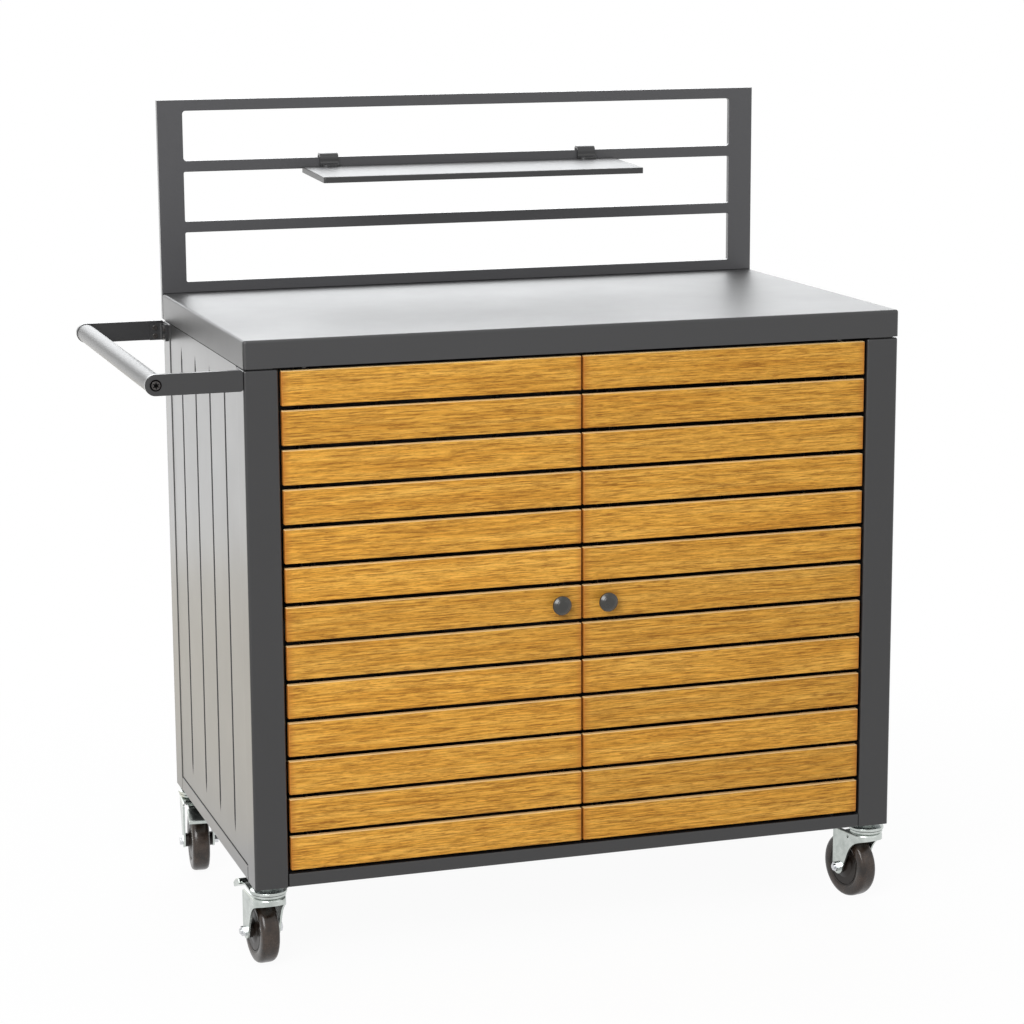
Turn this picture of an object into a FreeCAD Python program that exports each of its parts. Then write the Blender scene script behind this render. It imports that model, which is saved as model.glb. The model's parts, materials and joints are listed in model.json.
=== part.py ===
import FreeCAD, Part
import math
import os

# Grill cart with storage. Millimetres, +Z up. The cart is drawn with X from its left face, Y from
# the front of the worktop towards the back, and Z from the feet of the legs. The last step moves
# every piece so that the origin lies under the middle of the whole cart, on the floor.

# Body
body_width = 1000.0
body_depth = 580.0
body_height = 800.0

# Worktop, a folded tray of thin sheet
worktop_sheet = 2.0
worktop_skirt = 40.0
worktop_lip = 11.0
worktop_corner = 4.5
worktop_edge = 3.8

# Rails and stiffeners under the worktop
top_rail_sheet = 2.0
top_rail_depth = 48.0
top_rail_setback = 4.0
top_rail_end_gap = 0.5
stiffener_count = 3
stiffener_sheet = 1.5
stiffener_height = 25.0
stiffener_crown = 40.0
stiffener_brim = 18.0
stiffener_slope = 6.0

# Legs, square tubes that also make the corners of the cabinet
leg_size = 50.0
leg_wall = 2.0
leg_edge = 4.0
leg_top_round = 3.0
leg_setback = 1.5
leg_seam = 2.0
leg_cap = 40.0
leg_plate = 6.0

# Bottom rails and floor tray
rail_height = 22.0
rail_depth = 20.0
rail_wall = 1.5
rail_edge = 2.0
floor_height = 20.0
floor_sheet = 1.5
floor_setback = 2.0
floor_bend = 0.6
floor_hem = 12.0
floor_fold = 16.0
floor_joint = 5.0
floor_leg_gap = 0.5
floor_side_gap = 1.0

# Side and back panels with pressed grooves
panel_sheet = 1.5
panel_fold = 15.0
panel_setback = 1.3
panel_seam = 0.4
panel_foot_gap = 1.2
groove_count = 4
groove_pitch = 103.0
groove_width = 7.0
groove_floor = 5.4
groove_depth = 3.0
groove_run = 26.0
groove_end = 26.0
groove_tip = 0.4
back_groove_count = 8

# Doors, thirteen wooden slats on a folded steel frame
door_gap = 4.0
door_middle_gap = 3.0
slat_count = 13
slat_gap = 4.67
slat_thickness = 10.0
slat_round = 2.0
stile_width = 20.0
stile_depth = 20.0
stile_wall = 1.5
stile_end_wall = 4.0
hinge_inset = 36.0
hinge_depth = 15.5
pin_radius = 3.0
pin_length = 10.0
pin_end_gap = 1.0
collar_radius = 5.5
collar_height = 2.0
bush_radius = 4.0
bush_length = 8.0
bush_flange = 1.7
knob_inset = 34.5
knob_radius = 14.5
knob_neck = 7.0
knob_foot = 8.5
knob_waist = 5.5
knob_back = 7.8
knob_back_radius = 13.0
knob_widest = 11.0
knob_rim = 17.5
knob_rim_radius = 13.5
knob_round = 2.0
knob_length = 18.5
knob_face_radius = 10.0
knob_face_bevel = 0.8
knob_ring = 1.0
knob_ring_depth = 2.0
catch_length = 40.0
catch_depth = 14.0
catch_height = 18.0
catch_round = 1.5
catch_gap = 0.5

# Shelf inside the cabinet
shelf_height = 386.0
shelf_skirt = 20.0
shelf_sheet = 1.5
runner_size = 25.0
runner_inset = 24.0
shelf_clearance = 3.0

# Back frame above the worktop
frame_rise = 302.0
frame_depth = 10.0
frame_upright = 40.0
frame_rail = 17.0
frame_rail_count = 4
frame_top_radius = 5.0
frame_radius = 2.5
frame_edge = 1.0
frame_wall = 2.0
frame_screw = 3.0
frame_screw_head = 6.0
frame_screw_rise = 3.3
frame_screw_pitch = 18.0

# Small shelf that hangs on the second rail from the top
tray_left = 230.5
tray_width = 525.5
tray_depth = 141.0
tray_lip = 9.3
tray_sheet = 2.0
tray_corner = 3.0
tray_edge = 1.5
tray_droop = 2.6
tray_drop = 13.8
tray_rail_gap = 1.0
hook_width = 30.0
hook_left_inset = 43.7
hook_right_inset = 48.6
hook_sheet = 3.5
hook_radius = 5.6
hook_bend = 4.5
hook_foot = 17.0
hook_foot_round = 10.0
hook_tail = 16.0
hang_gap = 0.3

# Side handle
handle_reach = 123.5
handle_drop = 16.0
arm_height = 30.0
arm_thickness = 8.0
arm_setback = 0.5
arm_corner = 4.0
arm_leg_gap = 0.5
grip_radius = 14.0
grip_wall = 2.0
plug_length = 15.0
end_screw = 4.0
end_screw_head = 6.2
end_screw_rise = 3.4
end_washer = 8.3
end_washer_rise = 1.2
bracket_sheet = 4.0
bracket_height = 26.0
bracket_drop = 2.0
bracket_flange = 26.0
bracket_return = 24.0
bracket_bend = 4.0
bracket_screw = 2.5
bracket_screw_head = 4.2
bracket_screw_rise = 2.0
bracket_screw_pitch = 13.0

# Screws in general
screw_bite = 6.0
screw_end_gap = 1.0
screw_round = 0.6
socket_share = 0.72
socket_depth = 0.6

# Casters
wheel_radius = 50.0
tyre_width = 29.0
tyre_round = 4.0
tyre_inner_inset = 0.8
tyre_shoulder = 1.0
tread_depth = 16.0
hub_width = 27.0
hub_ring_radius = 31.0
hub_ring_width = 1.2
hub_ring_depth = 1.5
hub_dish = 20.0
hub_dish_rise = 3.0
boss_radius = 11.0
trail = 38.0
caster_height = 130.0
stem_radius = 6.0
stem_rise = 28.0
stem_bevel = 1.0
collar_flats = 22.0
stem_collar = 5.0
cup_radius = 27.0
cup_height = 6.0
cup_shoulder = 4.0
cup_bevel = 2.0
cup_round = 1.0
race_gap = 1.0
race_radius = 25.5
race_height = 5.0
race_shoulder = 3.0
race_bevel = 2.0
rivet_radius = 9.5
rivet_height = 3.7
rivet_round = 2.0
rivet_gap = 0.3
fork_half_width = 25.0
fork_sheet = 3.0
fork_edge = 4.0
fork_boss = 12.0
fork_front_drop = 9.0
fork_arch_drop = 17.0
fork_arch_reach = 6.0
fork_arch_radius = 42.0
fork_back_cut = 7.0
fork_back_drop = 4.0
fork_back_round = 5.0
fork_open = 24.0
axle_radius = 4.0
axle_flats = 13.0
axle_head = 5.3
axle_nut = 6.5
axle_end = 2.5
boss_gap = 0.3
caster_turn = {
    "front_left": 94.5,
    "front_right": 103.7,
    "rear_left": 264.15,
    "rear_right": 262.0,
}

# Brake levers of the two left casters
lever_pivot = 14.0
lever_drop = 25.2
lever_barrel = 4.0
lever_pin = 2.5
lever_pin_end = 0.2
lever_half_width = 17.0
lever_sheet = 2.5
lever_bend = 6.0
lever_knee = 34.0
lever_knee_drop = 21.0
lever_crest = 62.0
lever_crest_drop = 17.5
lever_toe = 82.0
lever_toe_drop = 19.5
lever_end = 104.0
lever_end_drop = 29.5
lever_travel = 12.0
shoe_place = 40.0
shoe_length = 8.0
shoe_gap = 0.4
pad_half_width = 21.0
pad_above = 5.0
pad_crown = 2.0
pad_nose = 1.0
pad_crown_round = 20.0
pad_below = 3.5
pad_round = 2.0
pad_edge = 1.2
pad_length = 30.0
pad_overhang = 4.0

# Running clearance of shafts in their bores, and of fixings in their holes
fit = 0.05

# How far a cutting shape reaches past the face that it cuts
past = 1.0

# Places that follow from the sizes above
skirt_bottom = body_height - worktop_skirt
handle_height = skirt_bottom - handle_drop
leg_front = leg_setback
leg_rear = body_depth - leg_setback
leg_inner_left = leg_size
leg_inner_right = body_width - leg_size
sheet_underside = body_height - worktop_sheet
lip_top = skirt_bottom + worktop_sheet
door_bottom = floor_height + door_gap
door_height = skirt_bottom - door_gap - door_bottom
door_width = (leg_inner_right - leg_inner_left - 2 * door_gap - door_middle_gap) / 2
left_door_edge = leg_inner_left + door_gap
right_door_edge = leg_inner_right - door_gap
slat_height = (door_height - (slat_count - 1) * slat_gap) / slat_count
slat_back = leg_front + slat_thickness
stile_back = slat_back + stile_depth
hinge_y = leg_front + hinge_depth
hinge_swing = math.hypot(hinge_inset, hinge_depth)
knob_height = door_bottom + door_height / 2
frame_front = body_depth
frame_back = body_depth + frame_depth
frame_pitch = (frame_rise - frame_rail) / (frame_rail_count - 1)
hang_rail_top = body_height + frame_rise - frame_pitch
fork_top = -(stem_collar + cup_height + race_gap + race_height)
wheel_height = wheel_radius - caster_height
left_reach = handle_reach + arm_height / 2
right_reach = max(body_width, body_width - leg_size / 2 + cup_radius)
front_reach = knob_length - leg_front
hook_middle = frame_front + frame_depth / 2
hook_front = hook_middle - hook_radius - hook_sheet / 2
tray_back = frame_front - tray_rail_gap
tray_top = hang_rail_top - tray_drop
arm_outer = leg_front + arm_setback
arm_inner = arm_outer + arm_thickness
bracket_middle = handle_height - bracket_drop
frame_screw_reach = frame_depth + worktop_sheet + top_rail_setback + screw_bite
back_reach = hook_middle + hook_radius + hook_sheet
to_origin = FreeCAD.Vector(
    (left_reach - right_reach) / 2, (front_reach - back_reach) / 2, caster_height
)

X = FreeCAD.Vector(1, 0, 0)
Y = FreeCAD.Vector(0, 1, 0)
Z = FreeCAD.Vector(0, 0, 1)
tiny = 1e-6


def vec(x, y, z):
    return FreeCAD.Vector(x, y, z)


def box(x0, x1, y0, y1, z0, z1):
    return Part.makeBox(x1 - x0, y1 - y0, z1 - z0, vec(x0, y0, z0))


def rod(start, axis, radius, length):
    return Part.makeCylinder(radius, length, start, axis)


# Planes that outlines are drawn in: across the cart, along it, seen from above, and seen from the side
def in_xz(y):
    return lambda u, v: vec(u, y, v)


def in_yz(x):
    return lambda u, v: vec(x, u, v)


def in_xy(z):
    return lambda u, v: vec(u, v, z)


def rounded_corner(before, corner, after, radius):
    """Start, middle and end of the arc that rounds one corner."""
    back = (before - corner).normalize()
    forward = (after - corner).normalize()
    half_angle = back.getAngle(forward) / 2
    inward = (back + forward).normalize()
    reach = radius / math.tan(half_angle)
    middle = corner + inward * (radius / math.sin(half_angle) - radius)
    return corner + back * reach, middle, corner + forward * reach


def outline(corners, plane):
    """Flat face through corners (u, v, radius), each corner rounded by its own radius."""
    points = [plane(u, v) for u, v, radius in corners]
    stops = []
    for i, (u, v, radius) in enumerate(corners):
        if radius > 0:
            after = points[(i + 1) % len(points)]
            stops.append(rounded_corner(points[i - 1], points[i], after, radius))
        else:
            stops.append((points[i], None, points[i]))
    edges = []
    for i, (start, middle, end) in enumerate(stops):
        if middle is not None:
            edges.append(Part.Arc(start, middle, end).toShape())
        following = stops[(i + 1) % len(stops)][0]
        if end.distanceToPoint(following) > tiny:
            edges.append(Part.makeLine(end, following))
    return Part.Face(Part.Wire(edges))


def plain(points):
    return [(u, v, 0) for u, v in points]


def rectangle(u0, u1, v0, v1, radius=0):
    return [(u0, v0, radius), (u1, v0, radius), (u1, v1, radius), (u0, v1, radius)]


def folded(points, sheet, bend):
    """Corners of a folded strip whose middle line runs through the points, with one bend or one for each."""
    bends = bend if isinstance(bend, list) else [bend] * len(points)
    steps = []
    for (u0, v0), (u1, v1) in zip(points, points[1:]):
        length = math.hypot(u1 - u0, v1 - v0)
        steps.append(((u1 - u0) / length, (v1 - v0) / length))
    left, right = [], []
    for i, (u, v) in enumerate(points):
        du0, dv0 = steps[max(i - 1, 0)]
        du1, dv1 = steps[min(i, len(steps) - 1)]
        turn = du0 * dv1 - dv0 * du1
        share = sheet / 2 / (1 + du0 * du1 + dv0 * dv1)
        side_u, side_v = -(dv0 + dv1) * share, (du0 + du1) * share
        inner, outer = (0, 0) if abs(turn) < tiny else (bends[i], bends[i] + sheet)
        left_radius, right_radius = (inner, outer) if turn > 0 else (outer, inner)
        left.append((u + side_u, v + side_v, left_radius))
        right.append((u - side_u, v - side_v, right_radius))
    return left + right[::-1]


def prism(corners, plane, direction):
    return outline(corners, plane).extrude(direction)


def outward(solid):
    if solid.Volume < 0:
        solid.reverse()
    return solid


def turned(corners, origin, axis):
    """Solid of revolution: corners are (radius from the axis, height along it, rounding)."""
    solid = outward(outline(corners, in_xz(0)).revolve(vec(0, 0, 0), Z, 360))
    solid.Placement = FreeCAD.Placement(origin, FreeCAD.Rotation(Z, axis))
    return solid


def ring(inner, outer, length, origin, axis, edge=0):
    return turned([(inner, 0, 0), (outer, 0, edge), (outer, length, edge), (inner, length, 0)], origin, axis)


def hexagon(flats, length, origin, axis):
    corner = flats / math.sqrt(3)
    angles = [math.radians(60 * i) for i in range(6)]
    corners = plain([(corner * math.cos(a), corner * math.sin(a)) for a in angles])
    solid = prism(corners, in_xy(0), Z * length)
    solid.Placement = FreeCAD.Placement(origin, FreeCAD.Rotation(Z, axis))
    return solid


def socket_screw(radius, crown, reach, origin, axis):
    """Screw whose crown, drawn from its seat to its flat top, stands on origin and points along axis."""
    head, rise = crown[-1][:2]
    shank = [(0, -reach, 0), (radius, -reach, 0), (radius, 0, 0)]
    screw = turned(shank + crown + [(0, rise, 0)], origin, axis)
    depth = (rise - crown[0][1]) * socket_depth
    return screw.cut(hexagon(head * socket_share, 2 * depth, origin + axis * (rise - depth), axis))


def flat_crown(head, rise):
    return [(head, 0, 0), (head, rise, screw_round)]


def edges_at_height(solid, z):
    return [e for e in solid.Edges
            if all(abs(v.Point.z - z) < tiny for v in e.Vertexes) and abs(e.CenterOfMass.z - z) < tiny]


def mirrored_x(shape):
    return shape.mirror(vec(body_width / 2, 0, 0), X)


def mirrored_y(shape):
    return shape.mirror(vec(0, body_depth / 2, 0), Y)


def group(solids):
    return Part.makeCompound(solids)


def leg_centres():
    left, right = leg_size / 2, body_width - leg_size / 2
    front, rear = leg_front + leg_size / 2, leg_rear - leg_size / 2
    return {
        "front_left": vec(left, front, 0),
        "front_right": vec(right, front, 0),
        "rear_left": vec(left, rear, 0),
        "rear_right": vec(right, rear, 0),
    }


# Worktop and what is under it
def frame_screw_places():
    middle = (lip_top + sheet_underside) / 2
    columns = (frame_upright / 2, body_width - frame_upright / 2)
    rows = (middle - frame_screw_pitch / 2, middle + frame_screw_pitch / 2)
    return [vec(x, frame_back, z) for x in columns for z in rows]


def frame_screw_holes():
    length = frame_screw_reach + screw_end_gap
    return group([rod(p, -Y, frame_screw + fit, length) for p in frame_screw_places()])


def make_worktop():
    sheet = worktop_sheet
    outer = prism(rectangle(0, body_width, 0, body_depth, worktop_corner), in_xy(skirt_bottom),
                  Z * worktop_skirt)
    outer = outer.makeFillet(worktop_edge, edges_at_height(outer, body_height))
    hollow = prism(
        rectangle(sheet, body_width - sheet, sheet, body_depth - sheet, worktop_corner - sheet),
        in_xy(lip_top), Z * (worktop_skirt - 2 * sheet),
    )
    hollow = hollow.makeFillet(worktop_edge - sheet, edges_at_height(hollow, sheet_underside))
    mouth = box(worktop_lip, body_width - worktop_lip, worktop_lip, body_depth - worktop_lip,
                skirt_bottom - past, lip_top + past)
    return outer.cut(hollow).cut(mouth).cut(frame_screw_holes())


def make_stiffeners():
    top = sheet_underside - stiffener_sheet / 2
    half, low = stiffener_crown / 2, top - stiffener_height + stiffener_sheet
    hat = [(-half - stiffener_slope - stiffener_brim, top), (-half - stiffener_slope, top), (-half, low),
           (half, low), (half + stiffener_slope, top), (half + stiffener_slope + stiffener_brim, top)]
    start = top_rail_setback + top_rail_depth
    face = outline(folded(hat, stiffener_sheet, stiffener_sheet), in_xz(start))
    length = body_depth - 2 * start
    pitch = body_width / (stiffener_count + 1)
    bars = []
    for i in range(stiffener_count):
        bar = face.extrude(Y * length)
        bar.translate(X * (pitch * (i + 1)))
        bars.append(bar)
    return group(bars)


def make_top_rail():
    """Channel under the front of the worktop, open towards the back."""
    half = top_rail_sheet / 2
    front, back = top_rail_setback + half, top_rail_setback + top_rail_depth
    channel = [(back, sheet_underside - half), (front, sheet_underside - half),
               (front, lip_top + half), (back, lip_top + half)]
    start = max(worktop_sheet, worktop_edge) + top_rail_end_gap
    return prism(folded(channel, top_rail_sheet, top_rail_sheet), in_yz(start), X * (body_width - 2 * start))


def make_front_top_rail():
    rail = make_top_rail()
    for x in hinge_places():
        rail = rail.cut(rod(vec(x, hinge_y, skirt_bottom), Z, bush_radius + fit, worktop_skirt / 2))
    return rail


def make_rear_top_rail():
    return mirrored_y(make_top_rail()).cut(frame_screw_holes())


# Legs
def leg_solid(inset, foot, top):
    """Square bar with rounded edges and a rounded top end, drawn for the front left corner."""
    low, high = inset, leg_size - inset
    edge = max(leg_edge - inset, leg_wall / 4)
    crown = min(max(leg_top_round - inset, leg_wall / 8), edge * 0.9)
    bar = prism(rectangle(low, high, leg_front + low, leg_front + high, edge), in_xy(foot), Z * (top - foot))
    return bar.makeFillet(crown, edges_at_height(bar, top))


def make_leg():
    top = skirt_bottom - leg_seam
    leg = leg_solid(0, 0, top).cut(leg_solid(leg_wall, -past, top - leg_wall))
    middle = leg_size / 2
    cap = prism(rectangle(middle - leg_cap / 2, middle + leg_cap / 2,
                          leg_front + middle - leg_cap / 2, leg_front + middle + leg_cap / 2, leg_edge),
                in_xy(top - leg_wall / 2), Z * (leg_seam + leg_wall / 2))
    return leg.fuse(cap).removeSplitter()


def make_leg_plates():
    half = leg_size / 2 - leg_wall - fit
    plates = []
    for centre in leg_centres().values():
        corners = rectangle(centre.x - half, centre.x + half, centre.y - half, centre.y + half,
                            leg_edge - leg_wall)
        plate = prism(corners, in_xy(0), Z * leg_plate)
        plates.append(plate.cut(rod(centre - Z * past, Z, stem_radius + fit, leg_plate + 2 * past)))
    return group(plates)


# Bottom rails and floor
def tube_section(u0, u1, v0, v1, plane, direction):
    wall = rail_wall
    outer = prism(rectangle(u0, u1, v0, v1, rail_edge), plane, direction)
    inner = prism(rectangle(u0 + wall, u1 - wall, v0 + wall, v1 - wall, rail_edge - wall), plane, direction)
    return outer.cut(inner)


def make_side_bottom_rails():
    start = leg_front + leg_size
    length = leg_rear - leg_size - start
    left = tube_section(0, rail_depth, 0, rail_height, in_xz(start), Y * length)
    return group([left, mirrored_x(left)])


def make_rear_bottom_rail():
    length = leg_inner_right - leg_inner_left
    return tube_section(leg_rear - rail_depth, leg_rear, 0, rail_height, in_yz(leg_inner_left), X * length)


def make_floor_tray():
    half = floor_sheet / 2
    left, right = leg_inner_left + floor_leg_gap, leg_inner_right - floor_leg_gap
    front, back = leg_front + leg_size + floor_side_gap, leg_rear - leg_size - floor_side_gap
    rear = leg_rear - rail_depth
    joint = front - floor_joint
    front_bend = [(floor_setback + floor_hem, half), (floor_setback + half, half),
                  (floor_setback + half, floor_height - half), (joint, floor_height - half)]
    tray = prism(folded(front_bend, floor_sheet, floor_bend), in_yz(left), X * (right - left))
    sheet = plain([(left, joint), (right, joint), (right, front), (body_width - rail_depth, front),
                   (body_width - rail_depth, back), (right, back), (right, rear), (left, rear),
                   (left, back), (rail_depth, back), (rail_depth, front), (left, front)])
    tray = tray.fuse(prism(sheet, in_xy(floor_height - floor_sheet), Z * floor_sheet))
    fold = box(rail_depth, rail_depth + floor_sheet, front, back, floor_height - floor_fold, floor_height)
    rear_fold = box(left, right, rear - floor_sheet, rear, floor_height - floor_fold, floor_height)
    tray = tray.fuse([fold, mirrored_x(fold), rear_fold]).removeSplitter()
    for x in hinge_places():
        hole = rod(vec(x, hinge_y, floor_height - 2 * floor_sheet), Z, bush_radius + fit, 3 * floor_sheet)
        tray = tray.cut(hole)
    return tray


# Panels
def groove(place, low, high, widen, deepen, skin):
    """One pressed groove that runs up the panel and fades out at both ends."""
    def section(z, half_face, half_floor, depth):
        corners = [vec(-skin, place - half_face, z), vec(depth, place - half_floor, z),
                   vec(depth, place + half_floor, z), vec(-skin, place + half_face, z)]
        return Part.makePolygon(corners + corners[:1])

    face, floor = groove_width / 2 + widen, groove_floor / 2 + widen
    tip = groove_tip + widen
    wires = [
        section(low, tip, tip / 2, groove_tip + deepen),
        section(low + groove_run, face, floor, groove_depth + deepen),
        section(high - groove_run, face, floor, groove_depth + deepen),
        section(high, tip, tip / 2, groove_tip + deepen),
    ]
    return outward(Part.makeLoft(wires, True, True))


def grooved_panel(length, count):
    """Folded panel whose outer face is X = 0 and whose length runs along Y."""
    low, high = rail_height + panel_foot_gap, skirt_bottom - panel_seam
    pan = box(0, panel_fold, 0, length, low, high)
    inside = box(panel_sheet, panel_fold + past, panel_sheet, length - panel_sheet,
                 low + panel_sheet, high - panel_sheet)
    pan = pan.cut(inside)
    first = length / 2 - groove_pitch * (count - 1) / 2
    places = [first + groove_pitch * i for i in range(count)]
    bottom, top = low + groove_end, high - groove_end
    ridges = [groove(p, bottom, top, panel_sheet / 2, panel_sheet, -panel_sheet / 2) for p in places]
    grooves = [groove(p, bottom, top, 0, 0, past) for p in places]
    return pan.fuse(ridges).cut(group(grooves))


def make_side_panel():
    start = leg_front + leg_size + panel_seam
    panel = grooved_panel(body_depth - 2 * start, groove_count)
    panel.translate(vec(panel_setback, start, 0))
    return panel


def make_back_panel():
    start = leg_inner_left + panel_seam
    panel = grooved_panel(body_width - 2 * start, back_groove_count)
    panel.rotate(vec(0, 0, 0), Z, -90)
    panel.translate(vec(start, leg_rear - panel_setback, 0))
    return panel


# Shelf inside the cabinet
def make_middle_shelf():
    sheet = shelf_sheet
    left = runner_inset + shelf_clearance
    front = hinge_y + hinge_swing + shelf_clearance
    back = leg_rear - leg_size - shelf_clearance
    outer = prism(rectangle(left, body_width - left, front, back, 2 * sheet),
                  in_xy(shelf_height - shelf_skirt), Z * shelf_skirt)
    outer = outer.makeFillet(sheet, edges_at_height(outer, shelf_height))
    inner = prism(rectangle(left + sheet, body_width - left - sheet, front + sheet, back - sheet, sheet),
                  in_xy(shelf_height - shelf_skirt), Z * (shelf_skirt - sheet))
    return outer.cut(inner)


def make_shelf_runners():
    sheet = shelf_sheet
    start = leg_front + leg_size
    length = leg_rear - leg_size - start
    seat = shelf_height - shelf_skirt - sheet / 2
    angle = [(runner_inset + sheet / 2, seat + runner_size), (runner_inset + sheet / 2, seat),
             (runner_inset + runner_size, seat)]
    left = prism(folded(angle, sheet, sheet), in_xz(start), Y * length)
    return group([left, mirrored_x(left)])


# Doors
def hinge_places():
    return (left_door_edge + hinge_inset, right_door_edge - hinge_inset)


def make_slats():
    slats = []
    for i in range(slat_count):
        low = door_bottom + i * (slat_height + slat_gap)
        high = low + slat_height
        section = [(leg_front, low, slat_round), (leg_front, high, slat_round), (slat_back, high, 0),
                   (slat_back, low, 0)]
        slats.append(prism(section, in_yz(left_door_edge), X * door_width))
    return group(slats)


def make_door_frame():
    """Ladder of folded channels, open towards the slats, with closed ends for the hinge pins."""
    outer_left = left_door_edge + hinge_inset - stile_width / 2
    outer_right = left_door_edge + door_width - knob_inset + stile_width / 2
    low, high = door_bottom, door_bottom + door_height
    window_left, window_right = outer_left + stile_width, outer_right - stile_width
    half = stile_width / 2
    windows = [(low + stile_width, knob_height - half), (knob_height + half, high - stile_width)]
    wall = stile_wall

    frame = box(outer_left, outer_right, slat_back, stile_back, low, high)
    pocket = box(outer_left + wall, outer_right - wall, slat_back - past, stile_back - wall,
                 low + stile_end_wall, high - stile_end_wall)
    for z0, z1 in windows:
        frame = frame.cut(box(window_left, window_right, slat_back - past, stile_back + past, z0, z1))
        pocket = pocket.cut(box(window_left - wall, window_right + wall, slat_back - past, stile_back,
                                z0 - wall, z1 + wall))
    frame = frame.cut(pocket)
    hole_start = vec(left_door_edge + hinge_inset, hinge_y, low - past)
    pin_hole = rod(hole_start, Z, pin_radius + fit, door_height + 2 * past)
    return frame.cut(pin_hole)


def make_hinge_pins():
    """Pins fixed in the ends of the outer stile, each with a collar that keeps the door off the bush."""
    tip = pin_radius * 0.25
    x = left_door_edge + hinge_inset
    reach = door_gap + bush_length - pin_end_gap
    shape = [(0, -pin_length, 0), (pin_radius, -pin_length, 0), (pin_radius, 0, 0), (collar_radius, 0, 0),
             (collar_radius, collar_height, 0), (pin_radius, collar_height, 0), (pin_radius, reach - tip, 0),
             (pin_radius - tip, reach, 0), (0, reach, 0)]
    lower = turned(shape, vec(x, hinge_y, door_bottom), -Z)
    upper = turned(shape, vec(x, hinge_y, door_bottom + door_height), Z)
    return group([lower, upper])


def make_bush(x, seat, axis):
    """Flanged bush: the flange stands on its seat, the sleeve goes through the sheet."""
    sleeve = [(pin_radius + fit, -bush_length, 0), (bush_radius, -bush_length, 0), (bush_radius, 0, 0),
              (collar_radius, 0, 0), (collar_radius, bush_flange, 0), (pin_radius + fit, bush_flange, 0)]
    return turned(sleeve, vec(x, hinge_y, seat), axis)


def make_hinge_bushes():
    bushes = []
    for x in hinge_places():
        bushes.append(make_bush(x, floor_height, Z))
        bushes.append(make_bush(x, lip_top, -Z))
    return group(bushes)


def make_knob():
    """Turned knob: neck, rounded rim and a raised face inside a fine ring."""
    x = left_door_edge + door_width - knob_inset
    length, face, ring_outer = knob_length, knob_face_radius, knob_face_radius + knob_ring
    profile = [(0, 0, 0), (knob_foot, 0, 0), (knob_neck, knob_waist, 0), (knob_back_radius, knob_back, 0),
               (knob_radius, knob_widest, knob_round), (knob_rim_radius, knob_rim, knob_round),
               (ring_outer, length - knob_face_bevel, 0), (ring_outer, length - knob_ring_depth, 0),
               (face, length - knob_ring_depth, 0), (face, length - knob_face_bevel, 0),
               (face - knob_face_bevel, length, 0), (0, length, 0)]
    return turned(profile, vec(x, leg_front, knob_height), -Y)


def make_door_catches():
    left = left_door_edge + door_width - knob_inset
    front = stile_back + catch_gap
    catches = []
    for x in (left, body_width - left):
        section = rectangle(front, front + catch_depth, lip_top - catch_height, lip_top)
        body = prism(section, in_yz(x - catch_length / 2), X * catch_length)
        front_edges = [e for e in body.Edges
                       if abs(e.CenterOfMass.y - front) < tiny and e.CenterOfMass.z < lip_top - tiny]
        catches.append(body.makeFillet(catch_round, front_edges))
    return group(catches)


# Back frame
def make_back_frame():
    top = body_height + frame_rise
    frame = box(0, body_width, frame_front, frame_back, skirt_bottom, top)
    frame = frame.cut(box(frame_upright, body_width - frame_upright, frame_front - past, frame_back + past,
                          skirt_bottom - past, body_height))
    for i in range(frame_rail_count - 1):
        low = body_height + frame_rail + i * frame_pitch
        high = low + frame_pitch - frame_rail
        radius = frame_top_radius if i == frame_rail_count - 2 else frame_radius
        opening = rectangle(frame_upright, body_width - frame_upright, low, high, radius)
        frame = frame.cut(prism(opening, in_xz(frame_front - past), Y * (frame_depth + 2 * past)))
    middle = body_width / 2
    rims = [e for e in frame.Edges
            if e.BoundBox.YLength < tiny and skirt_bottom + tiny < e.CenterOfMass.z < top - tiny
            and abs(e.CenterOfMass.x - middle) < middle - tiny]
    frame = frame.makeFillet(frame_edge, rims)
    bore = box(frame_wall, frame_upright - frame_wall, frame_front + frame_wall, frame_back - frame_wall,
               skirt_bottom - past, top - frame_rail)
    return frame.cut([bore, mirrored_x(bore)]).cut(frame_screw_holes())


def make_frame_screws():
    crown = flat_crown(frame_screw_head, frame_screw_rise)
    return group([socket_screw(frame_screw, crown, frame_screw_reach, p, Y) for p in frame_screw_places()])


# Hanging shelf
def droop(shape):
    """Turns the shelf about its rear edge, so that its front hangs a little lower."""
    shape.rotate(vec(0, tray_back, tray_top), X, tray_droop)
    return shape


def make_hanging_shelf():
    sheet = tray_sheet
    left, right = tray_left, tray_left + tray_width
    front = tray_back - tray_depth
    bottom = tray_top - tray_lip
    plan = [(left, front, tray_corner), (right, front, tray_corner),
            (right, tray_back, 0), (left, tray_back, 0)]
    outer = prism(plan, in_xy(bottom), Z * tray_lip)
    rims = [e for e in edges_at_height(outer, tray_top) if e.CenterOfMass.y < tray_back - tiny]
    outer = outer.makeFillet(min(tray_edge, tray_sheet * 0.9), rims)
    under = [(left + sheet, front + sheet, tray_corner - sheet),
             (right - sheet, front + sheet, tray_corner - sheet),
             (right - sheet, tray_back + past, 0), (left + sheet, tray_back + past, 0)]
    return droop(outer.cut(prism(under, in_xy(bottom - past), Z * (tray_lip - sheet + past))))


def hook_places():
    return (tray_left + hook_left_inset, tray_left + tray_width - hook_right_inset)


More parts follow.
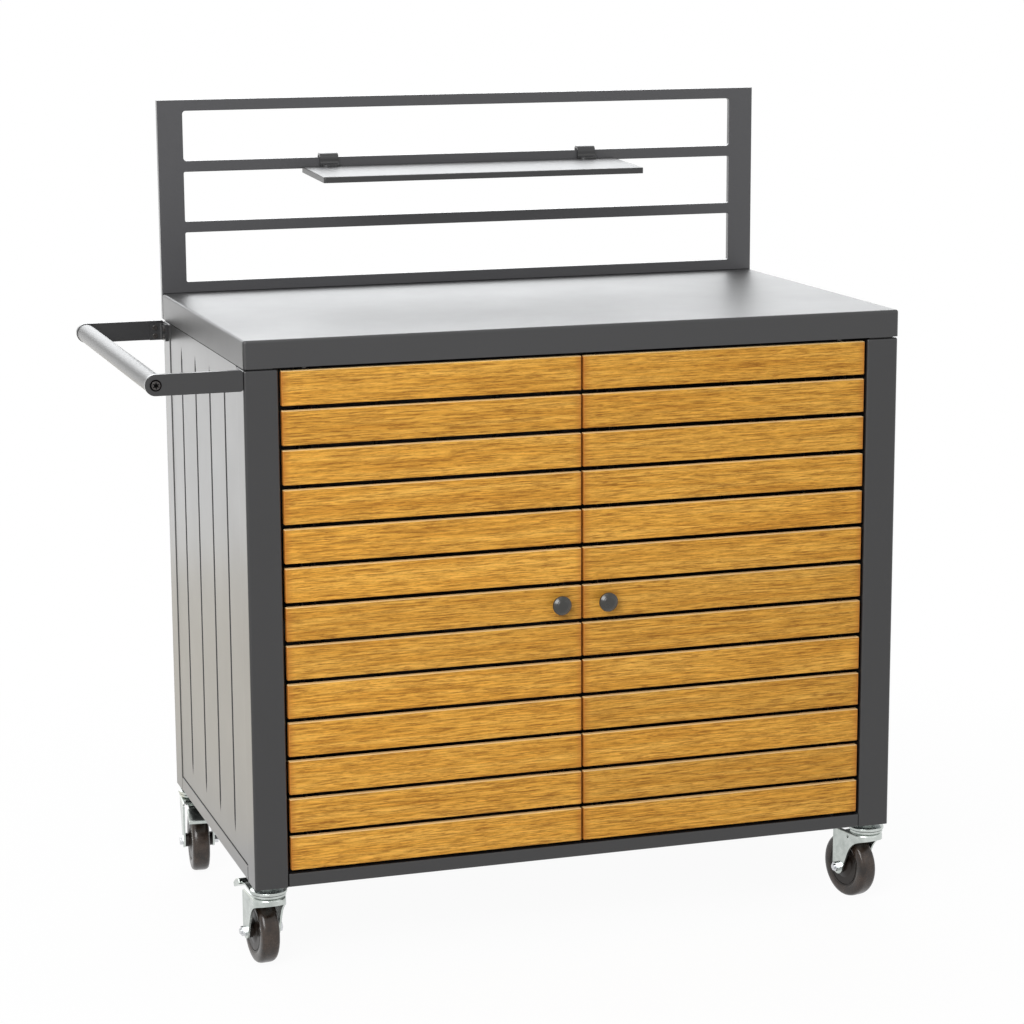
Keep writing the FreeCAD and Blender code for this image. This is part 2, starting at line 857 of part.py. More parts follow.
def make_shelf_hooks():
    """Flat straps: a rounded foot on the shelf, a leg up the rail, over it, and a short tail behind."""
    angle = math.radians(tray_droop)
    corner_reach = hook_radius - hang_gap - frame_edge
    lowered = math.sqrt(corner_reach ** 2 - (frame_depth / 2 - frame_edge) ** 2)
    arc_height = hang_rail_top - frame_edge - lowered
    top = arc_height + hook_radius + hook_sheet / 2
    front, back = hook_front, 2 * hook_middle - hook_front
    elbow = tray_top + hook_sheet / 2 / math.cos(angle) - (tray_back - front) * math.tan(angle)
    toe = (front - hook_foot * math.cos(angle), elbow - hook_foot * math.sin(angle))
    path = folded([toe, (front, elbow), (front, top), (back, top), (back, arc_height - hook_tail)],
                  hook_sheet, [0, hook_bend, hook_radius, hook_radius, 0])
    low = tray_top - tray_lip
    hooks = []
    for x in hook_places():
        left, right = x - hook_width / 2, x + hook_width / 2
        strap = prism(path, in_yz(left), X * hook_width)
        plan = [(left, toe[0], hook_foot_round), (right, toe[0], hook_foot_round),
                (right, back + hook_sheet, 0), (left, back + hook_sheet, 0)]
        hooks.append(strap.common(prism(plan, in_xy(low), Z * (top + hook_sheet - low))))
    return group(hooks)


# Handle
def bracket_screw_places():
    """Screws of the front bracket, one above the other: two into the leg, two into the arm."""
    bend_end = bracket_sheet + bracket_bend
    on_leg_y = arm_inner + (bend_end + bracket_flange) / 2
    on_arm_x = -(bend_end + bracket_return) / 2
    rows = [bracket_middle - bracket_screw_pitch / 2, bracket_middle + bracket_screw_pitch / 2]
    into_leg = [(vec(-bracket_sheet, on_leg_y, z), -X) for z in rows]
    into_arm = [(vec(on_arm_x, arm_inner + bracket_sheet, z), Y) for z in rows]
    return into_leg + into_arm


def bracket_holes():
    reach = bracket_sheet + screw_bite + screw_end_gap
    return group([rod(p, -axis, bracket_screw + fit, reach) for p, axis in bracket_screw_places()])


def make_handle_arm():
    half = arm_height / 2
    low, high = handle_height - half, handle_height + half
    end = -handle_reach - half
    arm = prism([(-arm_leg_gap, low, arm_corner), (end, low, half), (end, high, half),
                 (-arm_leg_gap, high, arm_corner)], in_xz(arm_outer), Y * arm_thickness)
    hole_start = vec(-handle_reach, arm_outer - past, handle_height)
    hole = rod(hole_start, Y, end_screw + fit, arm_thickness + 2 * past)
    return arm.cut(hole).cut(bracket_holes())


def make_handle_tube():
    length = body_depth - 2 * arm_inner
    return ring(grip_radius - grip_wall, grip_radius, length, vec(-handle_reach, arm_inner, handle_height), Y)


def make_handle_end_fixings():
    """Flat screws over a broad washer rim, each with the plug that it pulls into the tube."""
    crown = [(end_washer, 0, 0), (end_washer, end_washer_rise, 0), (end_screw_head, end_washer_rise, 0),
             (end_screw_head, end_screw_rise, screw_round)]
    reach = arm_thickness + plug_length - screw_end_gap
    screw = socket_screw(end_screw, crown, reach, vec(-handle_reach, arm_outer, handle_height), -Y)
    plug = ring(end_screw + fit, grip_radius - grip_wall - fit, plug_length,
                vec(-handle_reach, arm_inner, handle_height), Y)
    return group([screw, plug, mirrored_y(screw), mirrored_y(plug)])


def make_handle_brackets():
    half = bracket_sheet / 2
    path = [(-half, arm_inner + bracket_flange), (-half, arm_inner + half),
            (-bracket_return, arm_inner + half)]
    bracket = prism(folded(path, bracket_sheet, bracket_bend), in_xy(bracket_middle - bracket_height / 2),
                    Z * bracket_height)
    bracket = bracket.cut(bracket_holes())
    return group([bracket, mirrored_y(bracket)])


def make_handle_bracket_screws():
    crown = flat_crown(bracket_screw_head, bracket_screw_rise)
    reach = bracket_sheet + screw_bite
    front = [socket_screw(bracket_screw, crown, reach, p, axis) for p, axis in bracket_screw_places()]
    return group(front + [mirrored_y(screw) for screw in front])


# Casters, drawn with the swivel axis on Z, the trail along X and the axle along Y
def make_caster_cup():
    low = -stem_collar - cup_height
    shape = [(stem_radius + fit, -stem_collar, 0), (cup_radius - cup_shoulder, -stem_collar, 0),
             (cup_radius, -stem_collar - cup_bevel, cup_round), (cup_radius, low, cup_round),
             (stem_radius + fit, low, 0)]
    return turned(shape, vec(0, 0, 0), Z)


def make_caster_stem():
    """Threaded stem with a hexagon collar, riveted over under the fork."""
    rivet_top = fork_top - fork_sheet - rivet_gap
    shape = [(0, rivet_top - rivet_height, 0), (rivet_radius, rivet_top - rivet_height, rivet_round),
             (rivet_radius, rivet_top, 0), (stem_radius, rivet_top, 0),
             (stem_radius, stem_rise - stem_bevel, 0), (stem_radius - stem_bevel, stem_rise, 0),
             (0, stem_rise, 0)]
    stem = turned(shape, vec(0, 0, 0), Z)
    return stem.fuse(hexagon(collar_flats, stem_collar, vec(0, 0, -stem_collar), Z))


def fork_plan(inset):
    """Straight sides and a half round front, seen from above."""
    half = fork_half_width - inset
    back = trail + fork_boss + 2 * past
    return [(-half, -half, half), (back, -half, 0), (back, half, 0), (-half, half, half)]


def fork_shell(inset, top, edge):
    depth = wheel_height - fork_boss - 2 * past
    solid = prism(fork_plan(inset), in_xy(depth), Z * (top - depth))
    return solid.makeFillet(edge, edges_at_height(solid, top))


def fork_side():
    """Side view of the fork: crown, one long arch to the axle in front, and an upright back edge."""
    front, back = -fork_half_width - past, trail + fork_boss
    corners = [(front, fork_top + past, 0), (front, fork_top - fork_front_drop, 0),
               (fork_arch_reach, fork_top - fork_arch_drop, fork_arch_radius),
               (trail - fork_boss, wheel_height, 0), (back, wheel_height, 0),
               (back, fork_top - fork_back_drop, fork_back_round), (back - fork_back_cut, fork_top + past, 0)]
    start = -fork_half_width - past
    side = prism(corners, in_xz(start), Y * (-2 * start))
    return side.fuse(rod(vec(trail, start, wheel_height), Y, fork_boss, -2 * start))


def make_fork():
    inner_edge = max(fork_edge - fork_sheet, fork_sheet / 4)
    shell = fork_shell(0, fork_top, fork_edge).cut(fork_shell(fork_sheet, fork_top - fork_sheet, inner_edge))
    fork = shell.common(fork_side())
    inner = fork_half_width - fork_sheet
    back = trail + 2 * fork_boss
    fork = fork.cut(box(fork_open, back, -inner, inner, fork_top - 2 * fork_sheet, fork_top + fork_sheet))
    race = turned([(stem_radius, fork_top, 0), (race_radius - race_shoulder, fork_top, 0),
                   (race_radius, fork_top + race_bevel, 0), (race_radius, fork_top + race_height, 0),
                   (stem_radius, fork_top + race_height, 0)], vec(0, 0, 0), Z)
    width = 2 * (fork_half_width + past)
    bore = rod(vec(0, 0, fork_top - 2 * fork_sheet), Z, stem_radius + fit, 4 * race_height)
    fork = fork.fuse(race).cut(bore)
    fork = fork.cut(rod(vec(trail, -width / 2, wheel_height), Y, axle_radius + fit, width))
    return fork.cut(rod(vec(lever_pivot, -width / 2, -lever_drop), Y, lever_pin + fit, width))


def make_axle():
    """Bolt through both legs of the fork, with its nut."""
    outer = fork_half_width
    shank = rod(vec(trail, -outer, wheel_height), Y, axle_radius, 2 * outer + axle_nut + axle_end)
    bolt = shank.fuse(hexagon(axle_flats, axle_head, vec(trail, -outer, wheel_height), -Y))
    nut = hexagon(axle_flats, axle_nut, vec(trail, outer, wheel_height), Y)
    nut = nut.cut(rod(vec(trail, outer - past, wheel_height), Y, axle_radius + fit, axle_nut + 2 * past))
    return group([bolt, nut])


def two_sided(half_section):
    """Closed section of a wheel from the corners of one side, listed from the middle outwards."""
    far_side = [(radius, -along, rounding) for radius, along, rounding in half_section]
    return half_section + far_side[::-1]


def make_tyre():
    half = tyre_width / 2
    side = [(wheel_radius - tread_depth + fit, -half + tyre_inner_inset, 0),
            (wheel_radius - tyre_round, -half, 0), (wheel_radius, -half + tyre_shoulder, tyre_round)]
    return turned(two_sided(side), vec(trail, 0, wheel_height), Y)


def make_hub():
    """Disc with a fine ring near its rim and a cone up to the boss between the legs of the fork."""
    half, rim = hub_width / 2, wheel_radius - tread_depth
    boss = fork_half_width - fork_sheet - boss_gap
    ring_inner, ring_outer = hub_ring_radius - hub_ring_width / 2, hub_ring_radius + hub_ring_width / 2
    floor = -half + hub_ring_depth
    side = [(axle_radius + fit, -boss, 0), (boss_radius, -boss, 0), (boss_radius, -half - hub_dish_rise, 0),
            (hub_dish, -half, 0), (ring_inner, -half, 0), (ring_inner, floor, 0), (ring_outer, floor, 0),
            (ring_outer, -half, 0), (rim, -half, 0)]
    return turned(two_sided(side), vec(trail, 0, wheel_height), Y)


def lever_path():
    return [(lever_pivot, -lever_drop), (lever_knee, -lever_knee_drop), (lever_crest, -lever_crest_drop),
            (lever_toe, -lever_toe_drop), (lever_end, -lever_end_drop)]


def shoe_bottom():
    """Height of the shoe at rest, so that it just clears the tyre when the lever is down."""
    angle = math.radians(lever_travel)
    arm = shoe_place + shoe_length / 2 - lever_pivot
    tyre_top = wheel_height + wheel_radius
    return -lever_drop + (tyre_top + shoe_gap + lever_drop + arm * math.sin(angle)) / math.cos(angle)


def make_brake_lever():
    half = lever_half_width
    strip = prism(folded(lever_path(), lever_sheet, lever_bend), in_xz(-half), Y * (2 * half))
    barrel = rod(vec(lever_pivot, -half, -lever_drop), Y, lever_barrel, 2 * half)
    reach = fork_half_width - lever_pin_end
    pin = rod(vec(lever_pivot, -reach, -lever_drop), Y, lever_pin, 2 * reach)
    share = (shoe_place - lever_knee) / (lever_crest - lever_knee)
    middle = -lever_knee_drop + share * (lever_knee_drop - lever_crest_drop)
    shoe = box(shoe_place - shoe_length / 2, shoe_place + shoe_length / 2, -tyre_width / 2, tyre_width / 2,
               shoe_bottom(), middle)
    return strip.fuse([barrel, pin, shoe]).removeSplitter()


def make_brake_pad(lever):
    """Moulded pad pushed over the end of the lever."""
    (u0, v0), (u1, v1) = lever_path()[-2:]
    length = math.hypot(u1 - u0, v1 - v0)
    along = ((u1 - u0) / length, (v1 - v0) / length)
    across = (-along[1], along[0])
    start, end = length + pad_overhang - pad_length, length + pad_overhang

    def place(distance, offset, radius):
        return (u0 + along[0] * distance + across[0] * offset,
                v0 + along[1] * distance + across[1] * offset, radius)

    corners = [place(start, -pad_below, pad_round), place(end, -pad_below, pad_round),
               place(end, pad_above - pad_nose, pad_round),
               place((start + end) / 2, pad_above + pad_crown, pad_crown_round),
               place(start, pad_above, pad_round)]
    pad = prism(corners, in_xz(-pad_half_width), Y * (2 * pad_half_width))
    ends = [e for e in pad.Edges if e.BoundBox.YLength < tiny]
    return pad.makeFillet(pad_edge, ends).cut(lever)


def on_leg(shape, corner):
    placed = shape.copy()
    placed.rotate(vec(0, 0, 0), Z, caster_turn[corner])
    placed.translate(leg_centres()[corner])
    return placed


def all_pieces():
    pieces = {}
    pieces["worktop"] = make_worktop()
    pieces["worktop_stiffeners"] = make_stiffeners()
    pieces["front_top_rail"] = make_front_top_rail()
    pieces["rear_top_rail"] = make_rear_top_rail()

    leg = make_leg()
    front_leg = leg.cut(bracket_holes())
    pieces["leg_front_left"] = front_leg
    pieces["leg_front_right"] = mirrored_x(leg)
    pieces["leg_rear_left"] = mirrored_y(front_leg)
    pieces["leg_rear_right"] = mirrored_x(mirrored_y(leg))
    pieces["leg_plates"] = make_leg_plates()

    pieces["floor_tray"] = make_floor_tray()
    pieces["side_bottom_rails"] = make_side_bottom_rails()
    pieces["rear_bottom_rail"] = make_rear_bottom_rail()
    pieces["left_panel"] = make_side_panel()
    pieces["right_panel"] = mirrored_x(pieces["left_panel"])
    pieces["back_panel"] = make_back_panel()
    pieces["middle_shelf"] = make_middle_shelf()
    pieces["shelf_runners"] = make_shelf_runners()

    left_door = {
        "door_slats": make_slats(),
        "door_frame": make_door_frame(),
        "hinge_pins": make_hinge_pins(),
        "knob": make_knob(),
    }
    for name, shape in left_door.items():
        pieces["left_" + name] = shape
        pieces["right_" + name] = mirrored_x(shape)
    pieces["hinge_bushes"] = make_hinge_bushes()
    pieces["door_catches"] = make_door_catches()

    pieces["back_frame"] = make_back_frame()
    pieces["back_frame_screws"] = make_frame_screws()
    pieces["hanging_shelf"] = make_hanging_shelf()
    pieces["shelf_hooks"] = make_shelf_hooks()

    arm = make_handle_arm()
    pieces["handle_front_arm"] = arm
    pieces["handle_rear_arm"] = mirrored_y(arm)
    pieces["handle_tube"] = make_handle_tube()
    pieces["handle_end_fixings"] = make_handle_end_fixings()
    pieces["handle_brackets"] = make_handle_brackets()
    pieces["handle_bracket_screws"] = make_handle_bracket_screws()

    cup, stem = make_caster_cup(), make_caster_stem()
    pieces["caster_cups"] = group([on_leg(cup, corner) for corner in caster_turn])
    pieces["caster_stems"] = group([on_leg(stem, corner) for corner in caster_turn])
    caster = {"fork": make_fork(), "axle": make_axle(), "hub": make_hub(), "tyre": make_tyre()}
    for corner in caster_turn:
        for name, shape in caster.items():
            pieces[corner + "_" + name] = on_leg(shape, corner)
    lever = make_brake_lever()
    pad = make_brake_pad(lever)
    for corner in ("front_left", "rear_left"):
        pieces[corner + "_brake_lever"] = on_leg(lever, corner)
        pieces[corner + "_brake_pad"] = on_leg(pad, corner)
    return pieces


os.makedirs("parts", exist_ok=True)
for name, shape in all_pieces().items():
    shape.translate(to_origin)
    shape.exportStep("parts/" + name + ".step")
    print(name, len(shape.Solids), "solids,", round(shape.Volume), "mm3, valid", shape.isValid())
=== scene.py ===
# %% [markdown]
# Grill cart with storage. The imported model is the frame: every piece of it is already at its real
# size and place, in metres, with +Z up and the origin on the floor under the middle of the cart.
# This file gives the pieces their finish, makes again in finer detail what repeats, and sets up the
# studio.

# %% Load the frame
import json
import math

import bmesh
import bpy
from mathutils import Matrix, Vector


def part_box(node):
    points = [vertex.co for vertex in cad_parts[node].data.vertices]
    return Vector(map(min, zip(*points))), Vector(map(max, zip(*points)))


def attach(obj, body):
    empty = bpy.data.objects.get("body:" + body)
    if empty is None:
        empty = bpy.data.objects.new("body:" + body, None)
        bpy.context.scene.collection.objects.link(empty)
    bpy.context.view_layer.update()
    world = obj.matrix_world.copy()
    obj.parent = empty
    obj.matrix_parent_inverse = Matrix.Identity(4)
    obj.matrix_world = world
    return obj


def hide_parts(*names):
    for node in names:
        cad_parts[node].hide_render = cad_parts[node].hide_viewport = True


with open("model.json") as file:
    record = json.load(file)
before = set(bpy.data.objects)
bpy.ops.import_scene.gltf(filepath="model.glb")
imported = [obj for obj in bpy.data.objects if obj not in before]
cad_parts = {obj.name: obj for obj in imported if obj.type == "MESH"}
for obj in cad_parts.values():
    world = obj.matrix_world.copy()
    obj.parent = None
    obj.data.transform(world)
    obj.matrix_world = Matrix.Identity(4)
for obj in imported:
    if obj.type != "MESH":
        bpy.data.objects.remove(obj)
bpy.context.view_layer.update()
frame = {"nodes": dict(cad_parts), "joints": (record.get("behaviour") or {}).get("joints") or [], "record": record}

nodes = frame["nodes"]

# %% [markdown]
# The camera comes first, because everything else is judged through it. The photograph was taken
# with a long lens from the front, a little to the left and above the worktop. A long lens keeps the
# upright edges of the cart nearly parallel. The place, the three angles and the lens were worked out
# from the edges of the cart, so the render can be laid over the photograph.

# %% Camera
camera_place = Vector((-1.2806, -4.1485, 1.4732))
camera_turn = math.radians(17.811)
camera_pitch = math.radians(11.309)
camera_roll = math.radians(-0.302)
lens = 100.438


def camera_matrix(place, turn, pitch, roll):
    """Looks along +Y, turned towards +X, tilted down, then rolled about the line of sight."""
    forward = Vector((
        math.sin(turn) * math.cos(pitch),
        math.cos(turn) * math.cos(pitch),
        -math.sin(pitch),
    ))
    right = Vector((math.cos(turn), -math.sin(turn), 0))
    up = right.cross(forward)
    rolled_right = math.cos(roll) * right + math.sin(roll) * up
    rolled_up = math.cos(roll) * up - math.sin(roll) * right
    turned = Matrix((rolled_right, rolled_up, -forward)).transposed().to_4x4()
    return Matrix.Translation(place) @ turned


camera = bpy.data.objects.new("camera", bpy.data.cameras.new("camera"))
camera.data.lens = lens
camera.data.clip_end = 100.0
camera.matrix_world = camera_matrix(camera_place, camera_turn, camera_pitch, camera_roll)
bpy.context.scene.collection.objects.link(camera)
bpy.context.scene.camera = camera
bpy.context.scene.view_settings.view_transform = "Standard"
print("camera at", [round(c, 3) for c in camera_place], "lens", lens)

# %% [markdown]
# Node trees are easier to read when each node takes one line. These helpers make a node, set its
# sockets by name, and link what is passed in as a socket. Every material reads Object coordinates,
# which stay with a piece when it moves.

# %% Helpers for node trees
def put(tree, kind, **settings):
    """Makes a node. A setting that is a socket is linked, a socket's name sets its value."""
    node = tree.nodes.new(kind)
    for key, value in settings.items():
        name = key.replace("_", " ")
        matches = [s for s in node.inputs if s.name.lower() == name.lower() and s.enabled]
        if matches and isinstance(value, bpy.types.NodeSocket):
            tree.links.new(value, matches[0])
        elif matches and not hasattr(node, key):
            matches[0].default_value = value
        else:
            setattr(node, key, value)
    return node


def maths(tree, operation, a, b=0.0):
    """One step of arithmetic on two numbers or sockets."""
    node = tree.nodes.new("ShaderNodeMath")
    node.operation = operation
    for socket, value in zip(node.inputs, (a, b)):
        if isinstance(value, bpy.types.NodeSocket):
            tree.links.new(value, socket)
        else:
            socket.default_value = value
    return node.outputs[0]


def object_coords(tree, scale=(1, 1, 1)):
    """Object coordinates, stretched so that a pattern can be longer one way than the others."""
    coords = tree.nodes.new("ShaderNodeTexCoord").outputs["Object"]
    mapping = tree.nodes.new("ShaderNodeMapping")
    mapping.inputs["Scale"].default_value = scale
    tree.links.new(coords, mapping.inputs["Vector"])
    return mapping.outputs[0]


def noise(tree, vector, scale=1.0, detail=2.0, roughness=0.5, distortion=0.0):
    """A cloudy pattern: detail adds finer and finer clouds, roughness gives them more weight."""
    node = tree.nodes.new("ShaderNodeTexNoise")
    tree.links.new(vector, node.inputs["Vector"])
    node.inputs["Scale"].default_value = scale
    node.inputs["Detail"].default_value = detail
    node.inputs["Roughness"].default_value = roughness
    node.inputs["Distortion"].default_value = distortion
    return node.outputs["Fac"]


def ramp(tree, factor, stops):
    """Colours along a factor: stops are (place, colour)."""
    node = tree.nodes.new("ShaderNodeValToRGB")
    while len(node.color_ramp.elements) < len(stops):
        node.color_ramp.elements.new(0.5)
    for element, (place, colour) in zip(node.color_ramp.elements, stops):
        element.position = place
        element.color = tuple(colour) + (1,)
    tree.links.new(factor, node.inputs[0])
    return node.outputs[0]


def mix_colour(tree, factor, a, b, blend="MIX"):
    """Goes from colour a to colour b, or multiplies them. Each is a colour or a socket."""
    node = tree.nodes.new("ShaderNodeMix")
    node.data_type = "RGBA"
    node.blend_type = blend
    for socket, value in ((node.inputs[0], factor), (node.inputs[6], a), (node.inputs[7], b)):
        if isinstance(value, bpy.types.NodeSocket):
            tree.links.new(value, socket)
        else:
            socket.default_value = value if isinstance(value, float) else tuple(value) + (1,)
    return node.outputs[2]


def remap(tree, value, low, high, to_low, to_high):
    """Moves a number from one range to another, held at both ends."""
    node = tree.nodes.new("ShaderNodeMapRange")
    tree.links.new(value, node.inputs[0])
    for socket, number in zip(node.inputs[1:5], (low, high, to_low, to_high)):
        socket.default_value = number
    return node.outputs[0]


def bump(tree, height, strength, distance, normal=None):
    """Bends the surface by a height in metres, on top of an earlier bump if there is one."""
    node = tree.nodes.new("ShaderNodeBump")
    node.inputs["Strength"].default_value = strength
    node.inputs["Distance"].default_value = distance
    tree.links.new(height, node.inputs["Height"])
    if normal is not None:
        tree.links.new(normal, node.inputs["Normal"])
    return node.outputs[0]


def new_material(name, colour, metallic=0.0, roughness=0.5, **constants):
    """A Principled material. Constants are set on the shader's own sockets."""
    material = bpy.data.materials.new(name)
    material.use_nodes = True
    tree = material.node_tree
    shader = tree.nodes["Principled BSDF"]
    shader.inputs["Base Color"].default_value = tuple(colour) + (1,)
    shader.inputs["Metallic"].default_value = metallic
    shader.inputs["Roughness"].default_value = roughness
    for key, value in constants.items():
        shader.inputs[key.replace("_", " ")].default_value = value
    return material, tree, shader


def finish_with(tree, shader, colour, roughness, normal):
    tree.links.new(colour, shader.inputs["Base Color"])
    tree.links.new(roughness, shader.inputs["Roughness"])
    tree.links.new(normal, shader.inputs["Normal"])


# %% [markdown]
# The background of a catalogue photograph is plain white, and the cart throws hardly any shadow.
# More light would wash the cart out, so the white comes from Light Path instead: rays that come
# from the camera, or from a reflection, see white at strength 1, and the rays that light the cart
# see a plain grey sky and a pale floor.

# %% White background and floor
sky_for_light = 0.25
floor_albedo = 0.80
floor_shadow_share = 0.05
shadow_fades_from = 0.6
shadow_fades_to = 1.6
floor_half = 30.0


def seen_directly(tree):
    """1 for rays from the camera, from a gloss or through glass, else 0."""
    rays = tree.nodes.new("ShaderNodeLightPath").outputs
    total = maths(tree, "ADD", rays["Is Camera Ray"], rays["Is Glossy Ray"])
    total = maths(tree, "ADD", total, rays["Is Transmission Ray"])
    return maths(tree, "MINIMUM", total, 1.0)


def make_world():
    world = bpy.data.worlds.new("studio")
    world.use_nodes = True
    tree = world.node_tree
    background = tree.nodes["Background"]
    background.inputs["Color"].default_value = (1, 1, 1, 1)
    strength = remap(tree, seen_directly(tree), 0, 1, sky_for_light, 1.0)
    tree.links.new(strength, background.inputs["Strength"])
    bpy.context.scene.world = world


def make_floor():
    mesh = bpy.data.meshes.new("floor")
    side = floor_half
    corners = [(-side, -side, 0), (side, -side, 0), (side, side, 0), (-side, side, 0)]
    mesh.from_pydata(corners, [], [(0, 1, 2, 3)])
    floor = bpy.data.objects.new("floor", mesh)
    bpy.context.scene.collection.objects.link(floor)
    material = bpy.data.materials.new("pale_floor")
    material.use_nodes = True
    tree = material.node_tree
    tree.nodes.remove(tree.nodes["Principled BSDF"])
    lit = put(tree, "ShaderNodeBsdfDiffuse", Color=(floor_albedo,) * 3 + (1,))
    bright = put(tree, "ShaderNodeBsdfDiffuse", Color=(1, 1, 1, 1))
    white = put(tree, "ShaderNodeEmission", Color=(1, 1, 1, 1), Strength=1.0)
    distance = tree.nodes.new("ShaderNodeVectorMath")
    distance.operation = "LENGTH"
    tree.links.new(object_coords(tree), distance.inputs[0])
    from_cart = distance.outputs["Value"]
    share = remap(tree, from_cart, shadow_fades_from, shadow_fades_to, floor_shadow_share, 0.0)
    shown = tree.nodes.new("ShaderNodeMixShader")
    tree.links.new(share, shown.inputs[0])
    tree.links.new(white.outputs[0], shown.inputs[1])
    tree.links.new(bright.outputs[0], shown.inputs[2])
    final = tree.nodes.new("ShaderNodeMixShader")
    tree.links.new(seen_directly(tree), final.inputs[0])
    tree.links.new(lit.outputs[0], final.inputs[1])
    tree.links.new(shown.outputs[0], final.inputs[2])
    tree.links.new(final.outputs[0], tree.nodes["Material Output"].inputs["Surface"])
    mesh.materials.append(material)


make_world()
make_floor()
print("floor", 2 * floor_half, "m wide, sky of", sky_for_light, "for the rays that gather light")

# %% [markdown]
# Soft boxes light the cart. A strong one in front, high and to the left, is the main light, and a
# weak one on the right opens the shadows. Two more stand behind the cart, one high and one wide:
# the worktop is seen at a very flat angle, where even a dark coat mirrors what is behind it, and
# these boxes are what it mirrors. The left side mirrors a low box behind it on the left, and lower
# down a faint warm glow from the floor. A narrow one overhead draws the bright lines along the
# rounded edges. Each box is given by its brightness, so its size can change without the picture
# getting darker. The strengths were found by rendering the cart once with each box alone and
# fitting the sum to the photograph.

# %% Soft boxes
back_tint = (0.96, 0.98, 1.0)
floor_tint = (1.0, 0.78, 0.35)


def soft_box(name, place, aim, width, height, brightness, tint=(1, 1, 1)):
    light = bpy.data.lights.new(name, "AREA")
    light.shape = "RECTANGLE"
    light.size = width
    light.size_y = height
    light.energy = brightness * math.pi * width * height
    light.color = tint
    box = bpy.data.objects.new(name, light)
    turned = (Vector(aim) - Vector(place)).to_track_quat("-Z", "Y").to_matrix().to_4x4()
    box.matrix_world = Matrix.Translation(place) @ turned
    box.visible_camera = False
    bpy.context.scene.collection.objects.link(box)


soft_box("main_box", (-2.6, -3.3, 2.8), (0, 0, 0.6), 2.5, 2.5, 7.5)
soft_box("fill_box", (3.0, -3.4, 1.9), (0, 0, 0.5), 2.0, 2.0, 0.52)
soft_box("high_back_box", (0.2, 3.6, 3.5), (0, 0, 0.93), 3.8, 3.8, 1.4, back_tint)
soft_box("wide_back_box", (0.8, 4.0, 2.7), (0, 0, 0.93), 5.0, 3.2, 1.21, back_tint)
soft_box("left_box", (-1.2, 2.5, 0.45), (-1.2, 0, 0.45), 2.0, 0.9, 0.57)
soft_box("floor_glow", (-1.5, 1.4, 0.006), (-1.5, 1.4, 1.0), 1.9, 2.2, 0.30, floor_tint)
soft_box("top_box", (-0.7, -1.1, 3.2), (0, -0.2, 0.7), 2.6, 0.7, 2.0)
print("soft boxes", len(bpy.data.lights))

# %% [markdown]
# All the sheet metal, the legs, the back frame and the handle carry a satin charcoal powder coat.
# The powder melts into a clear skin over the pigment, so the shader has a dark base and a Coat
# layer over it: seen straight on both are dark, and at a flat angle both mirror the studio, which
# is why the worktop looks nearly white in the photograph. The skin has a very fine orange peel, so
# a fine noise bends the surface, and a larger, faint one varies the gloss, as on a part that has
# been wiped and handled. The back frame takes a lighter copy of the same coat, as painted light that
# makes it look more brightly lit. Two of the coats have no skin: the one of the stiles behind the
# slats, and a flat black that paints the shade of what lies deep, such as the socket of a screw.

# %% Charcoal powder coat
def make_coat(name, colour, shade, roughness, peel, skin=1.0, skin_roughness=0.3, specular=0.3):
    material, tree, shader = new_material(
        name, colour, roughness=roughness, IOR=1.5, Specular_IOR_Level=specular,
        Coat_Weight=skin, Coat_Roughness=skin_roughness, Coat_IOR=1.45,
    )
    patches = noise(tree, object_coords(tree), scale=7.0, detail=4.0, roughness=0.6)
    peel_height = noise(tree, object_coords(tree), scale=900.0, detail=2.0)
    waves = noise(tree, object_coords(tree), scale=140.0, detail=1.0)
    wavy = bump(tree, waves, strength=peel * 0.5, distance=0.0005)
    grain = bump(tree, peel_height, strength=peel, distance=0.0002, normal=wavy)
    finish_with(
        tree, shader,
        colour=mix_colour(tree, patches, shade, colour),
        roughness=remap(tree, patches, 0.3, 0.7, roughness - 0.03, roughness + 0.04),
        normal=grain,
    )
    return material


charcoal_coat = make_coat(
    "charcoal_coat", (0.017, 0.0168, 0.0178), (0.013, 0.013, 0.0138), roughness=0.42, peel=0.10,
)
top_coat = make_coat(
    "top_coat", (0.022, 0.022, 0.023), (0.018, 0.018, 0.019), roughness=0.50, peel=0.10,
    skin_roughness=0.42,
)
# A lighter copy of the charcoal coat: painted light on the back frame.
frame_coat = make_coat(
    "frame_coat", (0.056, 0.056, 0.060), (0.047, 0.047, 0.051), roughness=0.42, peel=0.10,
)
tube_coat = make_coat(
    "tube_coat", (0.030, 0.030, 0.030), (0.024, 0.024, 0.024), roughness=0.50, peel=0.10,
    skin_roughness=0.41,
)
knob_coat = make_coat(
    "knob_coat", (0.017, 0.0155, 0.012), (0.013, 0.012, 0.009), roughness=0.30, peel=0.05,
    skin_roughness=0.20,
)
burnished = make_coat(
    "burnished", (0.030, 0.024, 0.020), (0.014, 0.011, 0.010), roughness=0.28, peel=0.15,
    skin_roughness=0.12,
)
stile_coat = make_coat(
    "stile_coat", (0.010, 0.010, 0.010), (0.007, 0.007, 0.007), roughness=0.65, peel=0.05,
    skin=0.0, specular=0.2,
)
# Painted shade: a flat black for recesses, here the socket and the washer of the handle's screws.
recess_black = make_coat(
    "recess_black", (0.006, 0.006, 0.006), (0.004, 0.004, 0.004), roughness=0.9, peel=0.05,
    skin=0.0, specular=0.0,
)
print("materials so far", len(bpy.data.materials))
